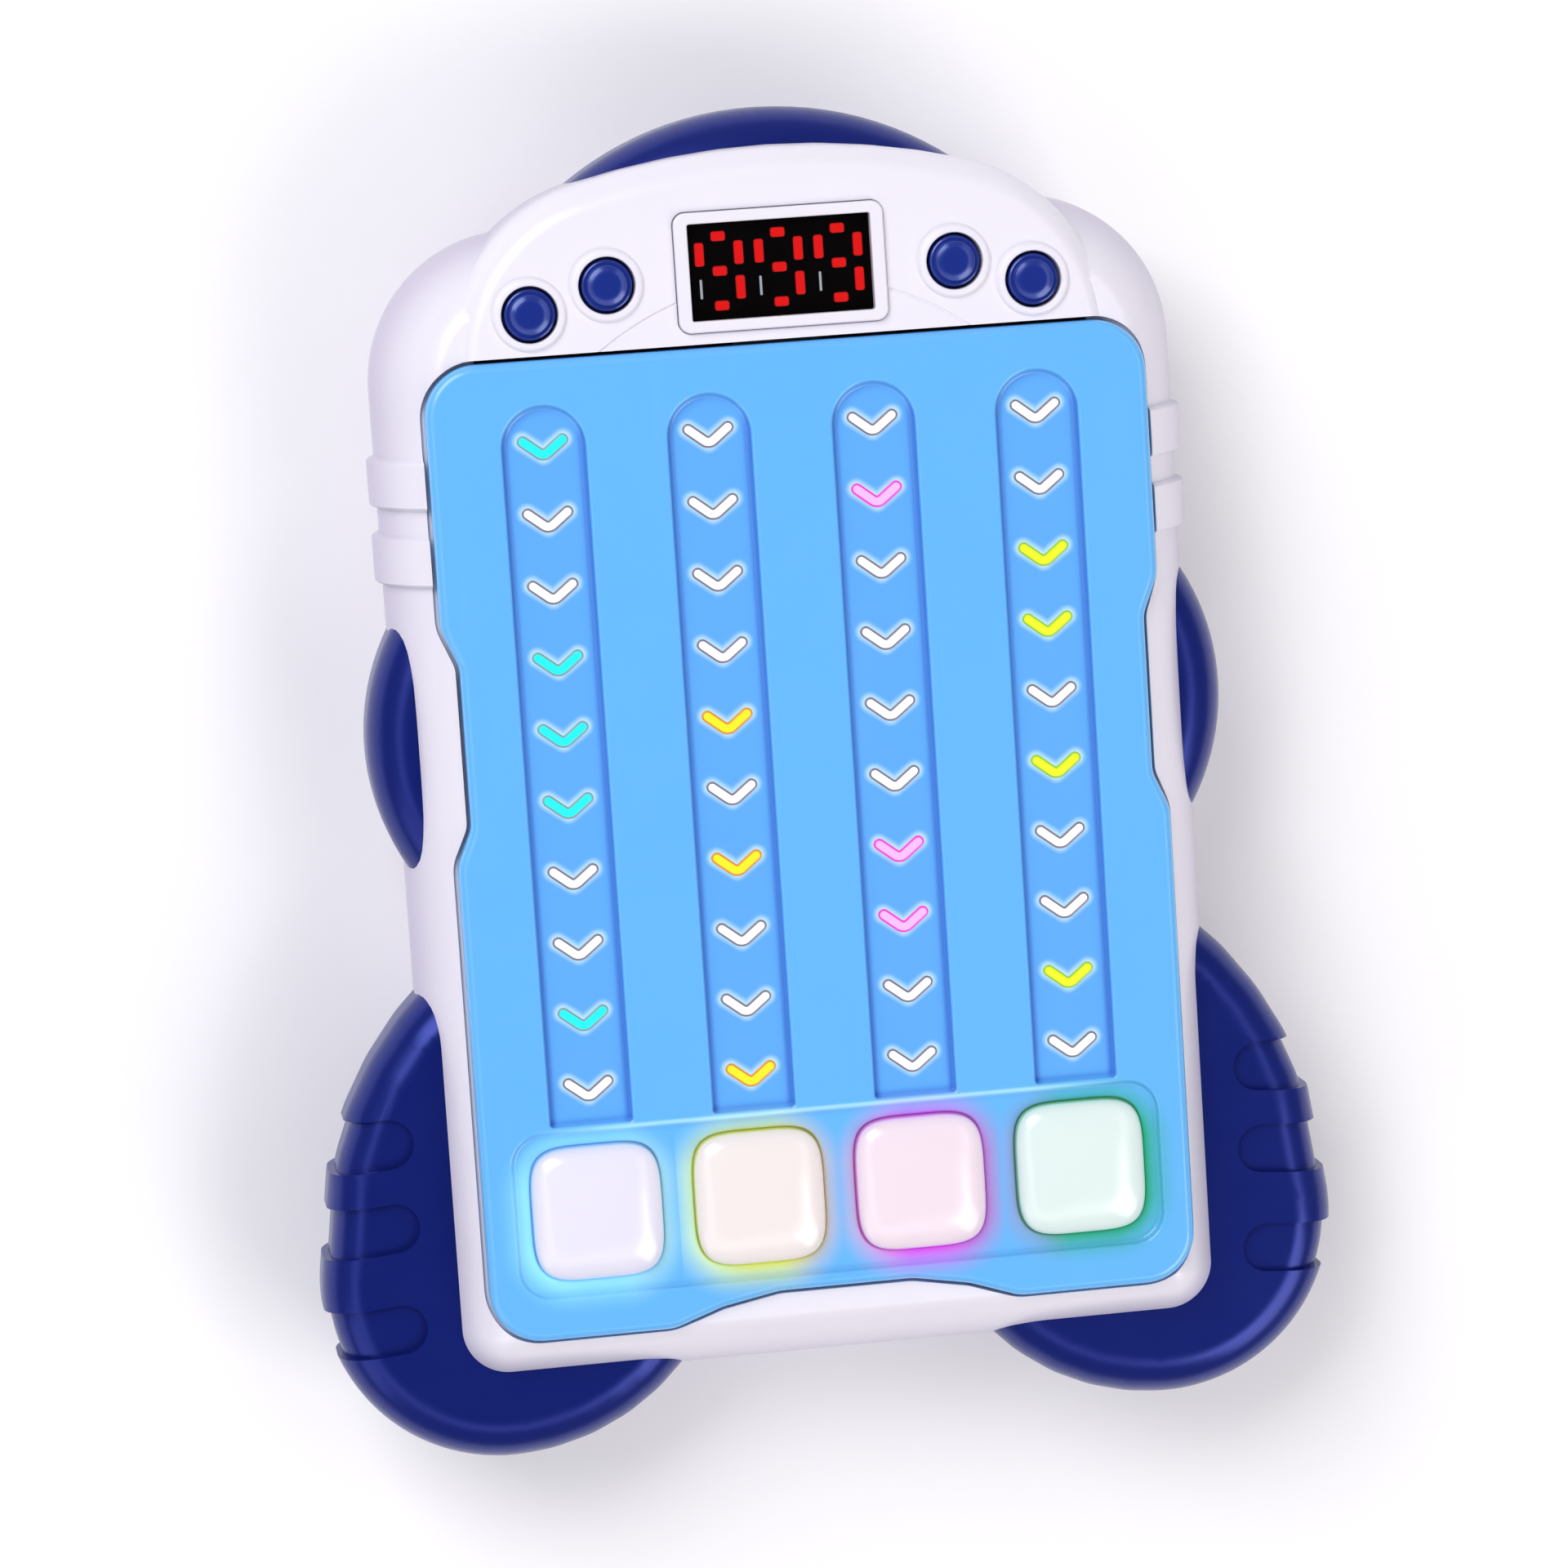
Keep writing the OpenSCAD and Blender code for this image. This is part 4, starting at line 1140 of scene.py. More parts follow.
@dataclass
class Casing:
    """Front and rear housings with their bands, collars, recesses and grille."""

    bench: Bench
    wall: float = 2.2
    shoulder: float = 24.0
    corner: float = 10.5
    dome_arc: float = 117.0
    dome_corner: float = 29.0
    band_rise: float = 1.2
    band_wide: float = 7.5
    bands: tuple[float, ...] = (-8.6, -20.7)
    seat: float = 0.6
    seat_deep: float = 1.1
    frame_gap: float = 0.14
    button_hole: float = 4.45
    door_gap: float = 0.3
    bay_wall: float = 1.8
    screw_well: tuple[float, float] = (3.0, 11.6)
    foot_seat: tuple[float, float] = (5.15, 0.8)

    def body_outline(self) -> Outline:
        """Plan of the main body, with points where the bands begin and end."""
        lay = self.bench.layout
        circles = []
        for s in (-1, 1):
            circles.append((s * (lay.body_half - self.shoulder), lay.plate_high - 4.1, self.shoulder))
            circles.append((s * (lay.body_half - self.corner), lay.body_low + self.corner, self.corner))
        stops = []
        for y in self.bands:
            for edge in (y, y + self.band_wide):
                stops += [edge - 0.4, edge - 0.12, edge + 0.12, edge + 0.4]
        return Outline.hull(circles).with_stops(stops)

    def dome_outline(self) -> Outline:
        """Plan of the raised part that holds the display and the buttons."""
        lay = self.bench.layout
        ring = self.dome_arc - self.dome_corner
        circles = []
        for k in range(-4, 5):
            angle = math.radians(15.5 * k / 4)
            y = lay.dome_high - self.dome_arc + ring * math.cos(angle)
            circles.append((ring * math.sin(angle), y, self.dome_corner))
        return Outline.hull(circles, 3.0)

    def band_swell(self, point: Vector) -> float:
        """How far the surface stands out at a point because of the raised bands."""
        rise = 0.0
        for y in self.bands:
            if y - 0.3 < point.y < y + self.band_wide + 0.3:
                edge = min(point.y - y, y + self.band_wide - point.y)
                rise = self.band_rise * min(max((edge + 0.2) / 0.4, 0), 1)
        return rise if abs(point.x) > 40 else 0.0

    def front_levels(self, inset: float = 0.0, cap: float = 100.0) -> Profile:
        """Heights and insets of the rounded front of the body."""
        base = self.bench.layout.part_z
        levels = [(0.0, 0.0), (2.5, 0.17), (5.0, 0.66), (7.5, 1.55), (10.0, 2.65), (12.0, 3.75),
                  (14.0, 5.1), (15.4, 6.25), (16.4, 7.25), (17.2, 8.35), (17.7, 9.3), (18.0, 10.3)]
        return [(min(base + h, cap), i + inset) for h, i in levels if base + h <= cap]

    def rear_levels(self, inset: float = 0.0, floor: float = -100.0) -> Profile:
        """Heights and insets of the rounded back, from the table up."""
        lay = self.bench.layout
        deep = lay.part_z - lay.back_z
        shares = [1.0, 0.985, 0.96, 0.92, 0.86, 0.78, 0.68, 0.56, 0.42, 0.26, 0.0]
        levels = [(lay.part_z - deep * t, 10 * t ** 3 + (0.6 if t > 0.97 else 0.0)) for t in shares]
        return [(z, i + inset) for z, i in levels if z >= floor]

    def dome_levels(self, inset: float = 0.0, top: float | None = None) -> Profile:
        """Heights and insets of the dome, upright first and then rounded over."""
        lay = self.bench.layout
        top = lay.dome_z if top is None else top
        return [(lay.part_z, inset), (top - 9.5, inset)] + quarter(top, 4.8 + inset, 6.6, 4.8, True, 10)

    def plate_outline(self) -> Outline:
        """Plan of the face plate with its side notches and its stepped lower edge."""
        lay = self.bench.layout
        half, high, low = lay.plate_half, lay.plate_high, lay.plate_low
        right = [(half, low, 8.3), (half, high - 78.3, 7.0), (half - 2.5, high - 72.4, 5.0),
                 (half - 2.5, high - 47.0, 5.0), (half, high - 40.9, 7.0), (half, high, 8.3)]
        left = [(-x, y, r) for x, y, r in reversed(right)]
        foot = [(-28.0, low, 7.0), (-20.0, low + 2.8, 8.0), (-10.8, low + 4.5, 8.0),
                (10.8, low + 4.5, 8.0), (20.0, low + 2.8, 8.0), (28.0, low, 7.0)]
        return Outline.filleted(right + left + foot, 6.0)

    def build(self) -> None:
        """Makes both housings."""
        self.build_front()
        self.build_rear()

    def build_front(self) -> None:
        """Front housing: rounded body and dome, plate recess, button collars, display seat."""
        bench, lay = self.bench, self.bench.layout
        form = Form.loft(self.body_outline(), self.front_levels(), self.band_swell)
        form = form.add(Form.loft(self.dome_outline(), self.dome_levels()))
        for i in range(1, 5):
            form = form.add(self.collar(lay.centre(f"mode_button_{i}")))
        inner_top = lay.plate_base - self.wall
        base = lay.part_z
        below = [(base - 1, self.wall)]
        domed = self.dome_levels(self.wall, lay.dome_z - self.wall)[1:]
        hollow = Form.loft(self.body_outline(), below + self.front_levels(self.wall, inner_top))
        hollow = hollow.add(Form.loft(self.dome_outline(), below + domed))
        form = form.cut(hollow)
        levels = [(lay.plate_base - self.seat_deep, -self.seat), (lay.dome_z + 5, -self.seat)]
        form = form.cut(Form.loft(self.plate_outline(), levels))
        half = lay.plate_half - 5
        throat = Form.block(-half, half, lay.plate_low + 6, lay.plate_high - 5, inner_top - 1, lay.dome_z)
        form = form.cut(throat)
        for i in range(1, 5):
            spot = lay.centre(f"mode_button_{i}")
            levels = opening(lay.dome_z - 5, lay.dome_z + 0.8, 0.0, 0.3)
            form = form.cut(Form.loft(Outline.circle(spot.x, spot.y, self.button_hole), levels))
        form = form.cut(*self.display_cuts())
        arc = [(48.7, lay.dome_z + 1), (48.78, lay.dome_z - 0.12), (48.92, lay.dome_z - 0.3),
               (49.08, lay.dome_z - 0.3), (49.22, lay.dome_z - 0.12), (49.3, lay.dome_z + 1)]
        form = form.cut(Form.lathe(0, lay.display_y - 50.55, arc, 256, loop=True))
        bench.finish("front_shell", form, "shell_white", "casing", "front_housing")

    def collar(self, spot: Vector) -> Form:
        """Raised ring round a small button, flowing out of the dome."""
        top = self.bench.layout.dome_z
        section = [(0.4, top - 2), (5.85, top - 2), (5.85, top + 0.02), (5.72, top + 0.3), (5.6, top + 0.5),
                   (5.4, top + 0.68), (5.15, top + 0.78), (4.8, top + 0.8), (0.4, top + 0.8)]
        return Form.lathe(spot.x, spot.y, section, 72)

    def display_cuts(self) -> list[Form]:
        """Seat of the display frame and the hole behind it."""
        lay, gap = self.bench.layout, self.frame_gap
        low, high = lay.box("display_bezel")
        seat = Outline.box(low.x - gap, high.x + gap, low.y - gap, high.y + gap, 2.0)
        hole = Outline.box(low.x + 1.7, high.x - 1.7, low.y + 1.5, high.y - 1.5, 0.6)
        return [Form.loft(seat, opening(low.z, lay.dome_z, 0.0, 0.2)),
                Form.loft(hole, [(lay.dome_z - 8, 0), (lay.dome_z + 3, 0)])]

    def build_rear(self) -> None:
        """Rear housing: rounded back, battery bay, door track, screw wells, grille and foot seats."""
        bench, lay = self.bench, self.bench.layout
        body, dome = self.body_outline(), self.dome_outline()
        form = Form.loft(body, self.rear_levels(), self.band_swell).add(Form.loft(dome, self.rear_levels()))
        floor = lay.back_z + self.wall
        above = [(lay.part_z + 1, self.wall)]
        inner = [(floor, 10.0 + self.wall)] + self.rear_levels(self.wall, floor + 0.4)
        hollow = Form.loft(body, inner + above).add(Form.loft(dome, inner + above))
        low, high = lay.box("battery_door")
        first_low, first_high = lay.box("cell_1")
        thick, gap = self.bay_wall, self.door_gap
        bay_half = lay.box("cell_3")[1].x + 1.3
        bay_low, bay_high = first_low.y - 2.5, high.y - 2.0
        bay_top = first_high.z + 0.7
        box = Form.block(-bay_half - thick, bay_half + thick, bay_low - thick, bay_high + thick,
                         0.0, bay_top + thick)
        shelf = Form.block(low.x - 2, high.x + 2, bay_low - thick, high.y + 2, 0.0, floor + thick)
        hollow = hollow.cut(box, shelf)
        form = form.cut(hollow)
        form = form.cut(Form.block(-bay_half, bay_half, bay_low, bay_high, lay.back_z - 1, bay_top))
        end, edge = lay.body_low - 4, high.y + gap
        door = Outline.box(low.x + 1.5 - gap, high.x - 1.5 + gap, end, edge, 0.5)
        form = form.cut(Form.loft(door, [(lay.back_z - 1, -0.5), (lay.back_z + 0.25, 0.0), (floor, 0.0)]))
        form = form.cut(Form.block(low.x - gap, high.x + gap, end, edge, lay.back_z + 0.8, floor))
        for node, radius, depth in self.round_wells():
            form = form.cut(self.well(node, radius, depth))
        form = form.cut(Form(self.grille()))
        bench.finish("rear_shell", form, "shell_white", "casing", "rear_housing")

    def well(self, spot: Vector, radius: float, depth: float) -> Form:
        """Round recess in the back with a softened edge."""
        back = self.bench.layout.back_z
        levels = [(back - 1, -1.3), (back, -0.3), (back + 0.1, -0.12), (back + 0.3, 0.0)]
        levels.append((back + depth, 0.0))
        return Form.loft(Outline.circle(spot.x, spot.y, radius), levels)

    def round_wells(self) -> list[tuple[Vector, float, float]]:
        """Screw wells and foot seats: place, radius and depth."""
        lay = self.bench.layout
        half, high, low = lay.body_half, lay.plate_high, lay.plate_low
        pairs = [(half - 9.2, high - 9.6), (half - 9.2, high - 89.6), (34.0, low + 4.7)]
        top, middle, bottom = ([(-x, y), (x, y)] for x, y in pairs)
        screws = [*top, (0.0, lay.dome_high - 6.2), *middle, *bottom]
        wells = [(Vector((x, y, 0)), *self.screw_well) for x, y in screws]
        box_low, box_high = lay.box("rubber_feet")
        for x in (box_low.x + 5, box_high.x - 5):
            for y in (box_low.y + 5, box_high.y - 5):
                wells.append((Vector((x, y, 0)), *self.foot_seat))
        return wells

    def grille(self) -> bpy.types.Mesh:
        """Rings of sound holes, as cutting pegs made by a node tree.

        Returns:
            The pegs, in grid millimetres.
        """
        lay = self.bench.layout
        spot = lay.centre("speaker_magnet")
        sizes = {"Hole Radius": 1.25, "Ring Gap": 3.9, "Length": 6.0, "Centre Y": spot.y,
                 "Centre Z": lay.back_z + 1.0, "Material": self.bench.paints["shell_white"]}
        pattern = Pattern("sound_holes", sizes)
        w = pattern.wiring
        peg = w.node("GeometryNodeMeshCylinder")
        peg.inputs["Vertices"].default_value = 20
        w.feed(peg.inputs["Radius"], pattern.size("Hole Radius"))
        w.feed(peg.inputs["Depth"], pattern.size("Length"))
        gather = w.node("GeometryNodeJoinGeometry")
        for ring in range(1, 5):
            circle = w.node("GeometryNodeMeshCircle")
            circle.inputs["Vertices"].default_value = 6 * ring
            w.feed(circle.inputs["Radius"], w.math("MULTIPLY", pattern.size("Ring Gap"), float(ring)))
            w.tree.links.new(circle.outputs[0], gather.inputs[0])
        middle = w.node("GeometryNodeMeshLine")
        middle.inputs["Count"].default_value = 1
        w.tree.links.new(middle.outputs[0], gather.inputs[0])
        copies = w.node("GeometryNodeInstanceOnPoints")
        w.feed(copies.inputs["Points"], gather.outputs[0])
        w.feed(copies.inputs["Instance"], peg.outputs[0])
        shift = w.node("GeometryNodeTransform")
        w.feed(shift.inputs["Geometry"], copies.outputs[0])
        offset = w.node("ShaderNodeCombineXYZ")
        w.feed(offset.inputs[1], pattern.size("Centre Y"))
        w.feed(offset.inputs[2], pattern.size("Centre Z"))
        w.feed(shift.inputs["Translation"], offset.outputs[0])
        pattern.close(shift.outputs[0])
        return pattern.bake()


# ---------------------------------------------------------------- face plate and arrows


@dataclass
class Plate:
    """Face plate with sunk lanes and a sunk bed for the keys."""

    bench: Bench
    outline: Outline
    lane_half: float = 6.5
    lane_depth: float = 1.5
    bed_depth: float = 1.2
    bed_half: float = 52.0
    key_gap: float = 0.3
    ridge: float = 1.0

    def build(self) -> None:
        """Makes the plate."""
        lay = self.bench.layout
        top = lay.plate_top
        levels = [(lay.plate_base, 0.0), (top - 1.35, 0.0), (top - 0.85, 0.1), (top - 0.45, 0.38),
                  (top - 0.18, 0.75), (top - 0.04, 1.15), (top, 1.5)]
        form = Form.loft(self.outline, levels)
        bed_high, bed_low = lay.key_row + 13.2, lay.key_row - 13.3
        for lane in range(1, LANES + 1):
            x = lay.lane_x(lane)
            half = self.lane_half
            end, turn = bed_high + self.ridge, half - 0.01
            corners = [(x - half, end, 0.5), (x + half, end, 0.5), (x + half, half, turn),
                       (x - half, half, turn)]
            floor = top - self.lane_depth
            form = form.cut(Form.loft(Outline.filleted(corners, 7.5), opening(floor, top, 0.75, 0.55)))
        bed = Outline.box(-self.bed_half, self.bed_half, bed_low, bed_high, 5.0, 7.5)
        form = form.cut(Form.loft(bed, opening(top - self.bed_depth, top, 0.7, 0.55)))
        for lane in range(1, LANES + 1):
            x, y = lay.lane_x(lane), lay.key_row
            wide, long = lay.key_wide / 2 + self.key_gap, lay.key_long / 2 + self.key_gap
            hole = Outline.squircle(x, y, wide, long)
            form = form.cut(Form.loft(hole, opening(lay.plate_base - 1, top - self.bed_depth, 0.0, 0.3)[:-2]
                                      + [(top - self.bed_depth + 0.15, -0.6)]))
        self.bench.finish("lane_plate", form, "plate_blue", "casing", "face_plate")


@dataclass
class ArrowColumn:
    """One lane's light guide: ten arrows, some of them lit."""

    bench: Bench
    lane: int
    glow: Glow
    lit_rows: tuple[int, ...]
    wide: float = 8.1
    high: float = 4.0
    stroke: float = 1.85
    edge: float = 0.29
    bend: float = 1.15
    proud: float = 0.16

    def ring(self, radius: float, z: float) -> list[Vector]:
        """Outline of a V stroke, radius out from its middle line, at height z."""
        x, y = (self.wide - self.stroke) / 2, (self.high - self.stroke) / 2
        low = self.bend - y
        reach = math.hypot(x, y - low)
        slope = math.pi / 2 + math.atan2(y - low, x) - math.acos(self.bend / reach)
        points = []

        def arc(cx: float, cy: float, size: float, start: float, turn: float, steps: int) -> None:
            """Adds the points of one arc."""
            for k in range(steps + 1):
                angle = start + turn * k / steps
                points.append(Vector((cx + size * math.cos(angle), cy + size * math.sin(angle), z)))

        arc(x, y, radius, slope - math.pi / 2, math.pi, 8)
        arc(0, low, self.bend - radius, slope - math.pi / 2, -2 * slope, 5)
        arc(-x, y, radius, math.pi / 2 - slope, math.pi, 8)
        arc(0, low, self.bend + radius, -math.pi / 2 - slope, 2 * slope, 7)
        return points

    def arrow(self) -> bpy.types.Mesh:
        """One arrow at the origin, in metres, with its dark edge marked."""
        half = self.stroke / 2
        floor = self.bench.layout.plate_top - 1.5
        top, inner = floor + self.proud, half - self.edge
        rings = [self.ring(half, floor - 0.4), self.ring(half, top - 0.04), self.ring(half - 0.05, top),
                 self.ring(inner, top), self.ring(inner - 0.05, top + 0.03)]
        mesh = Form.skin(rings).mesh
        rim = mesh.attributes.new("rim", "FLOAT", "POINT")
        rim.data.foreach_set("value", [0.0 if v.co.z > top + 0.02 else 1.0 for v in mesh.vertices])
        mesh.transform(Matrix.Scale(MM, 4))
        return mesh

    def build(self) -> None:
        """Runs the node tree that sets the arrows out and marks the lit ones."""
        bench, lay = self.bench, self.bench.layout
        sample = bpy.data.objects.new("arrow_sample", self.arrow())
        bpy.context.scene.collection.objects.link(sample)
        name = self.glow.name.lower()
        sizes = {"Arrow": sample, "Rows": lay.rows, "Row Pitch": lay.row_pitch * MM,
                 "Lane X": lay.lane_x(self.lane) * MM, "Top Y": lay.row_zero * MM,
                 "Lit Pattern": sum(2 ** (row - 1) for row in self.lit_rows),
                 "Material": bench.paints[f"arrow_{name}"]}
        pattern = Pattern("arrow_column", sizes)
        w = pattern.wiring
        start, step = w.node("ShaderNodeCombineXYZ"), w.node("ShaderNodeCombineXYZ")
        w.feed(start.inputs[0], pattern.size("Lane X"))
        w.feed(start.inputs[1], pattern.size("Top Y"))
        w.feed(step.inputs[1], w.math("MULTIPLY", pattern.size("Row Pitch"), -1.0))
        line = w.node("GeometryNodeMeshLine")
        w.feed(line.inputs["Count"], pattern.size("Rows"))
        w.feed(line.inputs["Start Location"], start.outputs[0])
        w.feed(line.inputs["Offset"], step.outputs[0])
        index = w.node("GeometryNodeInputIndex").outputs[0]
        shifted = w.math("DIVIDE", pattern.size("Lit Pattern"), w.math("POWER", 2.0, index))
        lit = w.math("MODULO", w.math("FLOOR", shifted), 2.0)
        mark = w.node("GeometryNodeStoreNamedAttribute", data_type="FLOAT", domain="POINT")
        w.feed(mark.inputs["Geometry"], line.outputs[0])
        mark.inputs["Name"].default_value = "lit"
        w.feed(mark.inputs["Value"], lit)
        info = w.node("GeometryNodeObjectInfo")
        w.feed(info.inputs["Object"], pattern.size("Arrow"))
        copies = w.node("GeometryNodeInstanceOnPoints")
        w.feed(copies.inputs["Points"], mark.outputs[0])
        w.feed(copies.inputs["Instance"], info.outputs["Geometry"])
        pattern.close(copies.outputs[0])
        mesh = pattern.bake()
        bpy.data.objects.remove(sample)
        bench.place(f"arrows_{self.lane}", mesh, f"arrow_{name}", "casing", f"lane_guide_{self.lane}",
                    slot="light_guide", crease=60.0)


# ---------------------------------------------------------------- keys and buttons


@dataclass
class Key:
    """One large key: a pillow-shaped cap on a flange."""

    bench: Bench
    lane: int
    glow: Glow
    rise: float = 2.9

    def build(self) -> None:
        """Makes the cap."""
        lay = self.bench.layout
        x, y = lay.lane_x(self.lane), lay.key_row
        top = lay.key_top
        base = top - self.rise
        shape = Outline.squircle(x, y, lay.key_wide / 2, lay.key_long / 2)
        middle = Vector((x, y, 0))
        levels = [(base - 4.4, 1.0), (base - 0.9, 1.0), (base, 1.0)]
        for k in range(1, 15):
            share = math.cos(math.pi / 2 * k / 15)
            levels.append((base + self.rise * (1 - share ** 2.3) ** 0.5, share))
        rings = []
        for z, share in levels:
            rings.append([middle + (p.to_3d() - middle) * share + Vector((0, 0, z)) for p in shape.points])
        node = f"key_{self.lane}"
        low, high = lay.box(node)
        flange = Outline.box(low.x, high.x, low.y, high.y, 6.4)
        form = Form.skin(rings).add(Form.loft(flange, [(low.z, 0.0), (low.z + 1.4, 0.0)]))
        paint = f"key_{self.glow.name.lower()}"
        self.bench.finish(f"key_cap_{self.lane}", form, paint, node, node, slot="key_cap", crease=50.0)


@dataclass
class SmallButton:
    """One small button with a chamfered, lightly dished top."""

    bench: Bench
    index: int

    def build(self) -> None:
        """Makes the button."""
        node = f"mode_button_{self.index}"
        low, high = self.bench.layout.box(node)
        spot = self.bench.layout.centre(node)
        radius = (high.x - low.x) / 2 - 0.9
        top = high.z
        section = [(0.1, low.z), (radius - 0.6, low.z), (radius - 0.6, low.z + 1.2),
                   (radius + 0.9, low.z + 1.2),
                   (radius + 0.9, low.z + 2.5), (radius, low.z + 2.6), (radius, top - 1.35),
                   (radius - 0.1, top - 1.15), (radius - 0.3, top - 1.05), (radius - 0.66, top - 1.05),
                   (radius - 0.74, top - 0.95), (radius - 0.84, top - 0.5), (radius - 0.94, top - 0.38),
                   (radius - 1.5, top - 0.17), (radius - 1.9, top - 0.07), (radius - 2.4, top), (0.1, top)]
        form = Form.lathe(spot.x, spot.y, section)
        self.bench.finish(f"button_cap_{self.index}", form, "button_navy", f"button_{self.index}", node,
                          crease=24.0)


# ---------------------------------------------------------------- display


@dataclass
class Display:
    """Frame of the display and its three figures."""

    bench: Bench
    digit_pitch: float = 9.4
    digit_wide: float = 6.2
    digit_high: float = 10.8

    def build(self) -> None:
        """Makes the frame and the bars of the figures."""
        self.build_frame()
        self.build_figures()

    def build_frame(self) -> None:
        """Raised white frame with a sharp opening."""
        lay = self.bench.layout
        low, high = lay.box("display_bezel")
        outer = Outline.box(low.x, high.x, low.y, high.y, 1.9)
        form = Form.loft(outer, [(low.z, 0.0)] + quarter(high.z, 0.4, 0.4, 0.4, True))
        hole = Outline.box(low.x + 2.1, high.x - 2.1, low.y + 1.8, high.y - 1.8, 0.35)
        form = form.cut(Form.loft(hole, opening(low.z - 1, high.z, 0.0, 0.25)))
        self.bench.finish("display_frame", form, "shell_white", "casing", "display_bezel")

    def bar(self, x: float, y: float, wide: float, long: float, z: float) -> Form:
        """One bar of a figure, thin and slightly crowned."""
        shape = Outline.box(x - wide / 2, x + wide / 2, y - long / 2, y + long / 2, min(wide, long) * 0.28)
        return Form.loft(shape, [(z - 0.2, 0.0), (z, 0.0), (z + 0.05, 0.3)])

    def build_figures(self) -> None:
        """Bars of three figures: a nine in each place, its lower left bar unlit."""
        lay = self.bench.layout
        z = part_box("display_segments")[1].z / MM
        lit: list[Form] = []
        for digit in (-1, 0, 1):
            x, y = digit * self.digit_pitch, lay.display_y
            for row in (-1, 0, 1):
                lit.append(self.bar(x, y + row * self.digit_high / 2, 2.3, 1.55, z))
            for side, row in ((-1, 1), (1, 1), (1, -1)):
                spot = x + side * self.digit_wide / 2, y + row * self.digit_high / 4
                lit.append(self.bar(*spot, 1.5, 3.7, z))
        dark = [self.bar(d * self.digit_pitch - self.digit_wide / 2, lay.display_y - self.digit_high / 4,
                         0.35, 3.0, z) for d in (-1, 0, 1)]
        for name, forms, value in (("figures_lit", lit, 1.0), ("figures_unlit", dark, 0.0)):
            form = forms[0].beside(*forms[1:])
            mark = form.mesh.attributes.new("lit", "FLOAT", "POINT")
            mark.data.foreach_set("value", [value] * len(form.mesh.vertices))
            rim = form.mesh.attributes.new("rim", "FLOAT", "POINT")
            edges = [0.0 if v.co.z > z + 0.03 else 1.0 for v in form.mesh.vertices]
            rim.data.foreach_set("value", edges)
            nodes = ("display_segments",) if value else ()
            self.bench.finish(name, form, "segment_red", "casing", *nodes)


# ---------------------------------------------------------------- pads, feet and crown


@dataclass
class Bumpers:
    """Crown piece, side pads and feet, all with a full round rim."""

    bench: Bench
    round_rim: float = 7.5
    pad_radius: float = 37.6
    pad_out: float = 4.9
    crown_radius: float = 52.7
    foot_radius: float = 28.8
    groove_depth: float = 1.1
    grooves: tuple[float, ...] = (-110.6, -124.2, -140.7)

    def rim(self, shrink: float = 0.0) -> Profile:
        """Heights and insets of the round rim, smaller all round by shrink."""
        lay = self.bench.layout
        turn = self.round_rim - shrink
        low = quarter(lay.pad_low + shrink, self.round_rim, turn, turn, False, 8)
        high = quarter(lay.pad_high - shrink, self.round_rim, turn, turn, True, 8)
        return low + high

    def inside(self) -> Form:
        """The space inside the body, where these pieces end."""
        lay = self.bench.layout
        half = lay.body_half - 4.7
        shape = Outline.box(-half, half, lay.body_low + 4, lay.plate_high, 9.0)
        return Form.loft(shape, [(0, 0), (60, 0)])

    def build(self) -> None:
        """Makes the five pieces."""
        lay = self.bench.layout
        crown_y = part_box("crown")[1].y / MM - lay.row_zero - self.crown_radius
        crown = Form.loft(Outline.circle(0, crown_y, self.crown_radius, 3.0), self.rim())
        core = Form.lathe(0, lay.dome_high - 117.0, [(113.6, 0), (113.6, 60)], 120)
        self.bench.finish("crown_pad", crown.cut(core), "navy_plastic", "casing", "crown")
        for side in Side:
            self.build_side(side)
            self.build_foot(side)

    def build_side(self, side: Side) -> None:
        """Round pad that stands out of the body's side."""
        lay = self.bench.layout
        x = side.value * (lay.body_half + self.pad_out - self.pad_radius)
        pad = Form.loft(Outline.circle(x, lay.plate_high - 60.6, self.pad_radius, 3.0), self.rim())
        name = side.name.lower()
        self.bench.finish(f"side_bumper_{name}", pad.cut(self.inside()), "navy_plastic", "casing",
                          f"side_pad_{name}")

    def foot_outline(self, side: Side) -> Outline:
        """Plan of a foot."""
        lay = self.bench.layout
        cx, cy = lay.body_half - 10.2, lay.body_low + 16.5
        low = cy - self.foot_radius
        circles = [(cx, cy, self.foot_radius)]
        for degrees in (18, 25, 33, 41, 50, 58):
            a = math.radians(degrees)
            circles.append((cx + 28.6 - 62 + 38 * math.cos(a), cy + 3.5 + 38 * math.sin(a), 24.0))
        for degrees in range(-90, -161, -10):
            a = math.radians(degrees)
            circles.append((cx + 18 * math.cos(a), low + 38 + 18 * math.sin(a), 20.0))
        outline = Outline.hull(circles, 2.5)
        return outline if side is Side.RIGHT else outline.mirrored()

    def tongue(self, side: Side, y: float) -> Form:
        """Rounded groove that wraps the rim, as a cutting form."""
        lay = self.bench.layout
        s = side.value
        start, end = (lay.body_half + 6.5, y + 1.2), (lay.body_half + 40, y - 1.8)
        shape = Outline.hull([(s * start[0], start[1], 4.0), (s * end[0], end[1], 4.0)], 7.5)
        return Form.loft(shape, [(0, 0), (60, 0)])

    def build_foot(self, side: Side) -> None:
        """Broad foot with three grooves round its outer rim."""
        outline = self.foot_outline(side)
        form = Form.loft(outline, self.rim())
        core = Form.loft(outline, self.rim(self.groove_depth))
        for y in self.grooves:
            form = form.cut(self.tongue(side, y).cut(core))
        name = side.name.lower()
        self.bench.finish(f"foot_bumper_{name}", form.cut(self.inside()), "navy_plastic", "casing",
                          f"foot_{name}", crease=40.0)


# ---------------------------------------------------------------- battery door


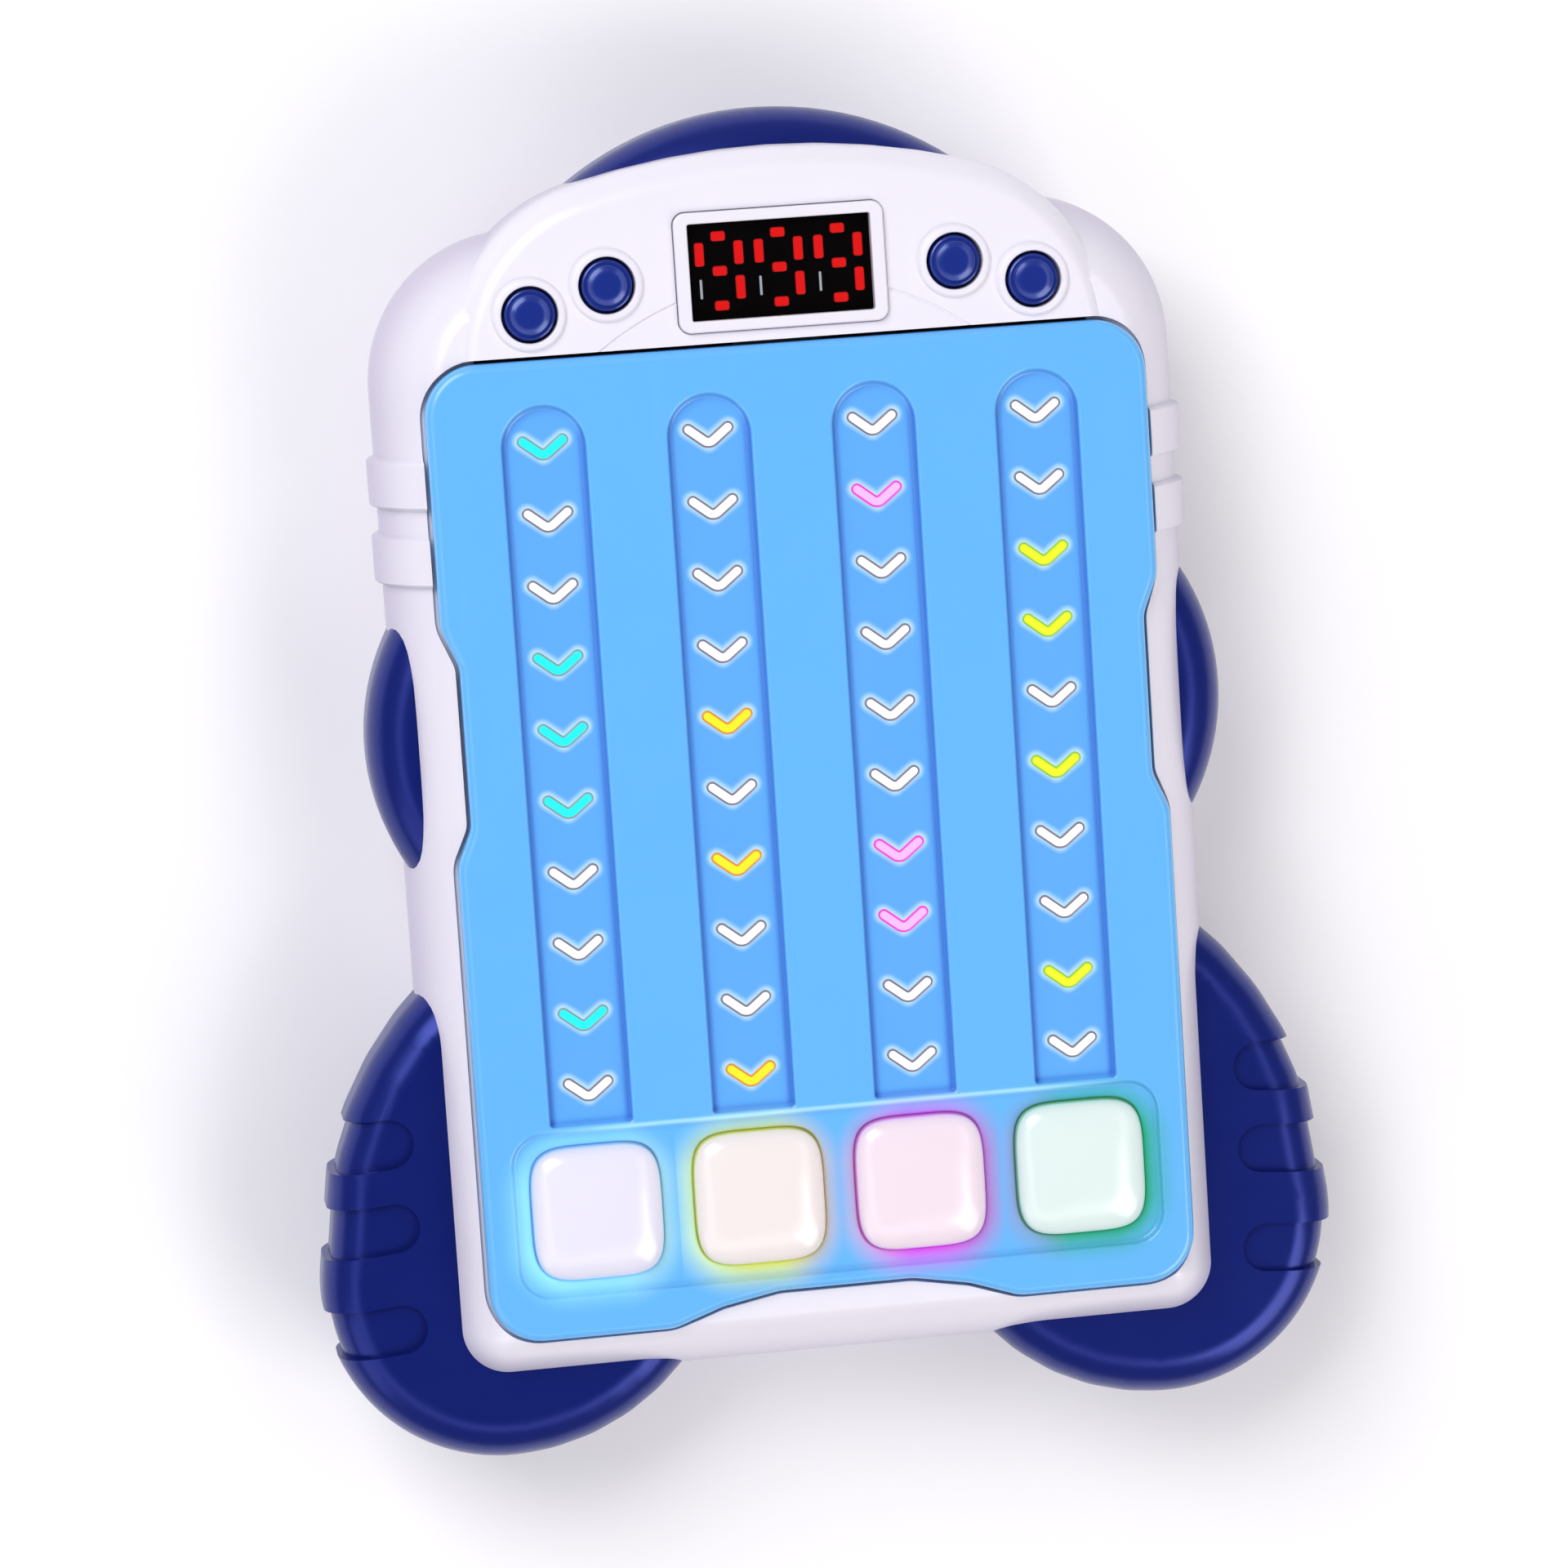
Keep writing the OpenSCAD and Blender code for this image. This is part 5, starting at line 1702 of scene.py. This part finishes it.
@dataclass
class Door:
    """Sliding battery door with finger ribs."""

    bench: Bench
    rail: float = 1.5
    ribs: int = 5

    def build(self) -> None:
        """Makes the door and its ribs in one mesh."""
        lay = self.bench.layout
        low, high = lay.box("battery_door")
        panel = Outline.box(low.x + self.rail, high.x - self.rail, low.y, high.y, 1.2)
        form = Form.loft(panel, [(low.z, 0.35), (low.z + 0.12, 0.12), (low.z + 0.35, 0.0), (high.z, 0.0)])
        form = form.add(Form.block(low.x, high.x, low.y + 0.01, high.y - 0.01, low.z + 1.1, high.z - 0.01))
        dish = Outline.box(-11.5, 11.5, low.y + 5, low.y + 21, 5.0)
        levels = [(-1.0, -1.0), (0.0, -0.35), (0.15, 0.1), (0.5, 0.9), (0.7, 2.2)]
        cut = Form.loft(dish, [(low.z + rise, inset) for rise, inset in levels])
        form = form.cut(cut).add(Form(self.grip(low.y + 8.0, low.z + 0.42)))
        self.bench.finish("slide_door", form, "shell_white", "battery_door", "battery_door")

    def grip(self, y: float, z: float) -> bpy.types.Mesh:
        """Finger ribs that get shorter towards the middle of the toy.

        Args:
            y: the first rib.
            z: middle height of the ribs.

        Returns:
            The ribs, in grid millimetres.
        """
        sizes = {"Count": self.ribs, "Gap": 2.4, "Length": 17.0, "Shorter": 1.8, "Width": 0.9,
                 "Height": 0.7, "First Y": y, "Middle Z": z, "Material": self.bench.paints["shell_white"]}
        pattern = Pattern("grip_ribs", sizes)
        w = pattern.wiring
        start, step, scale, size = (w.node("ShaderNodeCombineXYZ") for _ in range(4))
        w.feed(start.inputs[1], pattern.size("First Y"))
        w.feed(start.inputs[2], pattern.size("Middle Z"))
        w.feed(step.inputs[1], pattern.size("Gap"))
        line = w.node("GeometryNodeMeshLine")
        w.feed(line.inputs["Count"], pattern.size("Count"))
        w.feed(line.inputs["Start Location"], start.outputs[0])
        w.feed(line.inputs["Offset"], step.outputs[0])
        for socket, title in zip(size.inputs, ("Length", "Width", "Height")):
            w.feed(socket, pattern.size(title))
        rib = w.node("GeometryNodeMeshCube")
        w.feed(rib.inputs["Size"], size.outputs[0])
        index = w.node("GeometryNodeInputIndex").outputs[0]
        loss = w.math("DIVIDE", w.math("MULTIPLY", index, pattern.size("Shorter")), pattern.size("Length"))
        w.feed(scale.inputs[0], w.math("SUBTRACT", 1.0, loss))
        scale.inputs[1].default_value = 1.0
        scale.inputs[2].default_value = 1.0
        copies = w.node("GeometryNodeInstanceOnPoints")
        w.feed(copies.inputs["Points"], line.outputs[0])
        w.feed(copies.inputs["Instance"], rib.outputs[0])
        w.feed(copies.inputs["Scale"], scale.outputs[0])
        pattern.close(copies.outputs[0])
        return pattern.bake()


# ---------------------------------------------------------------- carried-over nodes


@dataclass
class Insides:
    """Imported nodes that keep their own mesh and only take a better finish."""

    bench: Bench
    nodes: dict[str, bpy.types.Object]

    def build(self, record: dict) -> None:
        """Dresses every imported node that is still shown.

        Args:
            record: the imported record.
        """
        slots = {part["node"]: part["material_slot"] for part in record["subparts"]}
        for name, node in self.nodes.items():
            if node.hide_render or slots.get(name) not in self.bench.paints.materials:
                continue
            paint = self.bench.paints[slots[name]]
            for slot in node.material_slots:
                slot.material = paint
            if not node.material_slots:
                node.data.materials.append(paint)
            LOG.info("%s wears %s", name, paint.name)


# ---------------------------------------------------------------- studio


@dataclass
class Studio:
    """Pale floor and backdrop, soft light and the camera."""

    lens: float = 124.46
    stand: tuple[float, float, float] = (-0.1160, 0.1161, 0.8797)
    forward: tuple[float, float, float] = (0.1301, -0.1348, -0.9823)
    upward: tuple[float, float, float] = (0.0826, 0.9887, -0.1248)
    floor_half: float = 3.0
    sky: tuple[tuple[float, float], ...] = (
        (0.0, 0.22), (0.66, 0.28), (0.74, 1.68), (0.82, 1.68), (0.88, 0.12), (1.0, 0.12))

    def build(self) -> None:
        """Sets the stage, the lights and the camera."""
        self.build_stage()
        self.build_lights()
        self.build_camera()
        bpy.context.scene.view_settings.view_transform = "Standard"

    def build_stage(self) -> None:
        """Floor and backdrop in plain pale paint."""
        paint = bpy.data.materials.new("studio_paper")
        paint.use_nodes = True
        surface = paint.node_tree.nodes["Principled BSDF"]
        surface.inputs["Base Color"].default_value = (0.985, 0.985, 0.985, 1.0)
        surface.inputs["Roughness"].default_value = 0.9
        surface.inputs["Specular IOR Level"].default_value = 0.0
        half = self.floor_half
        floor = [(-half, -half, 0), (half, -half, 0), (half, half, 0), (-half, half, 0)]
        wall = [(-half, half, 0), (half, half, 0), (half, half, 2 * half), (-half, half, 2 * half)]
        for name, corners in (("floor", floor), ("backdrop", wall[::-1])):
            mesh = bpy.data.meshes.new(name)
            mesh.from_pydata(corners, [], [(0, 1, 2, 3)])
            mesh.materials.append(paint)
            sheet = bpy.data.objects.new(name, mesh)
            bpy.context.scene.collection.objects.link(sheet)

    def build_lights(self) -> None:
        """Two large soft boxes and an even surround."""
        boxes = [("key_light", (-0.75, 0.95, 1.25), 1.0, 17.0, (0.99, 0.985, 1.0)),
                 ("fill_light", (0.85, -0.8, 1.0), 0.8, 8.2, (1.0, 0.95, 0.9)),
                 ("rim_light", (-0.9, -0.7, 0.6), 0.6, 1.6, (0.93, 0.9, 1.0))]
        for name, place, size, power, colour in boxes:
            light = bpy.data.lights.new(name, "AREA")
            light.energy, light.size, light.color = power, size, colour
            lamp = bpy.data.objects.new(name, light)
            lamp.location = place
            lamp.rotation_euler = Vector(place).to_track_quat("Z", "Y").to_euler()
            bpy.context.scene.collection.objects.link(lamp)
        world = bpy.data.worlds.new("surround")
        world.use_nodes = True
        w = Wiring(world.node_tree)
        backing = world.node_tree.nodes["Background"]
        split = w.node("ShaderNodeSeparateXYZ")
        w.feed(split.inputs[0], w.node("ShaderNodeTexCoord").outputs["Generated"])
        sky = w.node("ShaderNodeValToRGB")
        stops = sky.color_ramp.elements
        while len(stops) < len(self.sky):
            stops.new(1.0)
        for stop, (height, level) in zip(stops, self.sky):
            stop.position = height
            stop.color = (level * 0.93, level * 0.92, level, 1.0)
        w.feed(sky.inputs[0], split.outputs[2])
        w.feed(backing.inputs["Color"], sky.outputs["Color"])
        backing.inputs["Strength"].default_value = 1.0
        bpy.context.scene.world = world

    def build_camera(self) -> None:
        """Camera above the toy, turned a little to the left and the top."""
        camera = bpy.data.objects.new("camera", bpy.data.cameras.new("camera"))
        camera.data.lens = self.lens
        camera.data.sensor_width = 36.0
        forward, upward = Vector(self.forward).normalized(), Vector(self.upward).normalized()
        right = forward.cross(upward).normalized()
        turn = Matrix((right, right.cross(forward), -forward)).transposed()
        camera.matrix_world = Matrix.Translation(self.stand) @ turn.to_4x4()
        camera.data.clip_start = 0.01
        bpy.context.scene.collection.objects.link(camera)
        bpy.context.scene.camera = camera


def main() -> None:
    """Builds the toy in order."""
    logging.basicConfig(level=logging.INFO, format="%(message)s")
    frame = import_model()
    layout = Layout.read()
    bench = Bench(layout, Paintbox(Effects(layout)))
    casing = Casing(bench)
    casing.build()
    Plate(bench, casing.plate_outline()).build()
    lit = {Glow.CYAN: (1, 4, 5, 6, 9), Glow.GOLD: (5, 7, 10), Glow.PINK: (2, 7, 8), Glow.LIME: (3, 4, 6, 9)}
    for lane, (glow, rows) in enumerate(lit.items(), 1):
        ArrowColumn(bench, lane, glow, rows).build()
        Key(bench, lane, glow).build()
    for index in range(1, 5):
        SmallButton(bench, index).build()
    Display(bench).build()
    Bumpers(bench).build()
    Door(bench).build()
    Insides(bench, frame["nodes"]).build(frame["record"])
    Studio().build()
    LOG.info("%d pieces", len(bench.pieces))


if __name__ == "__main__":
    main()
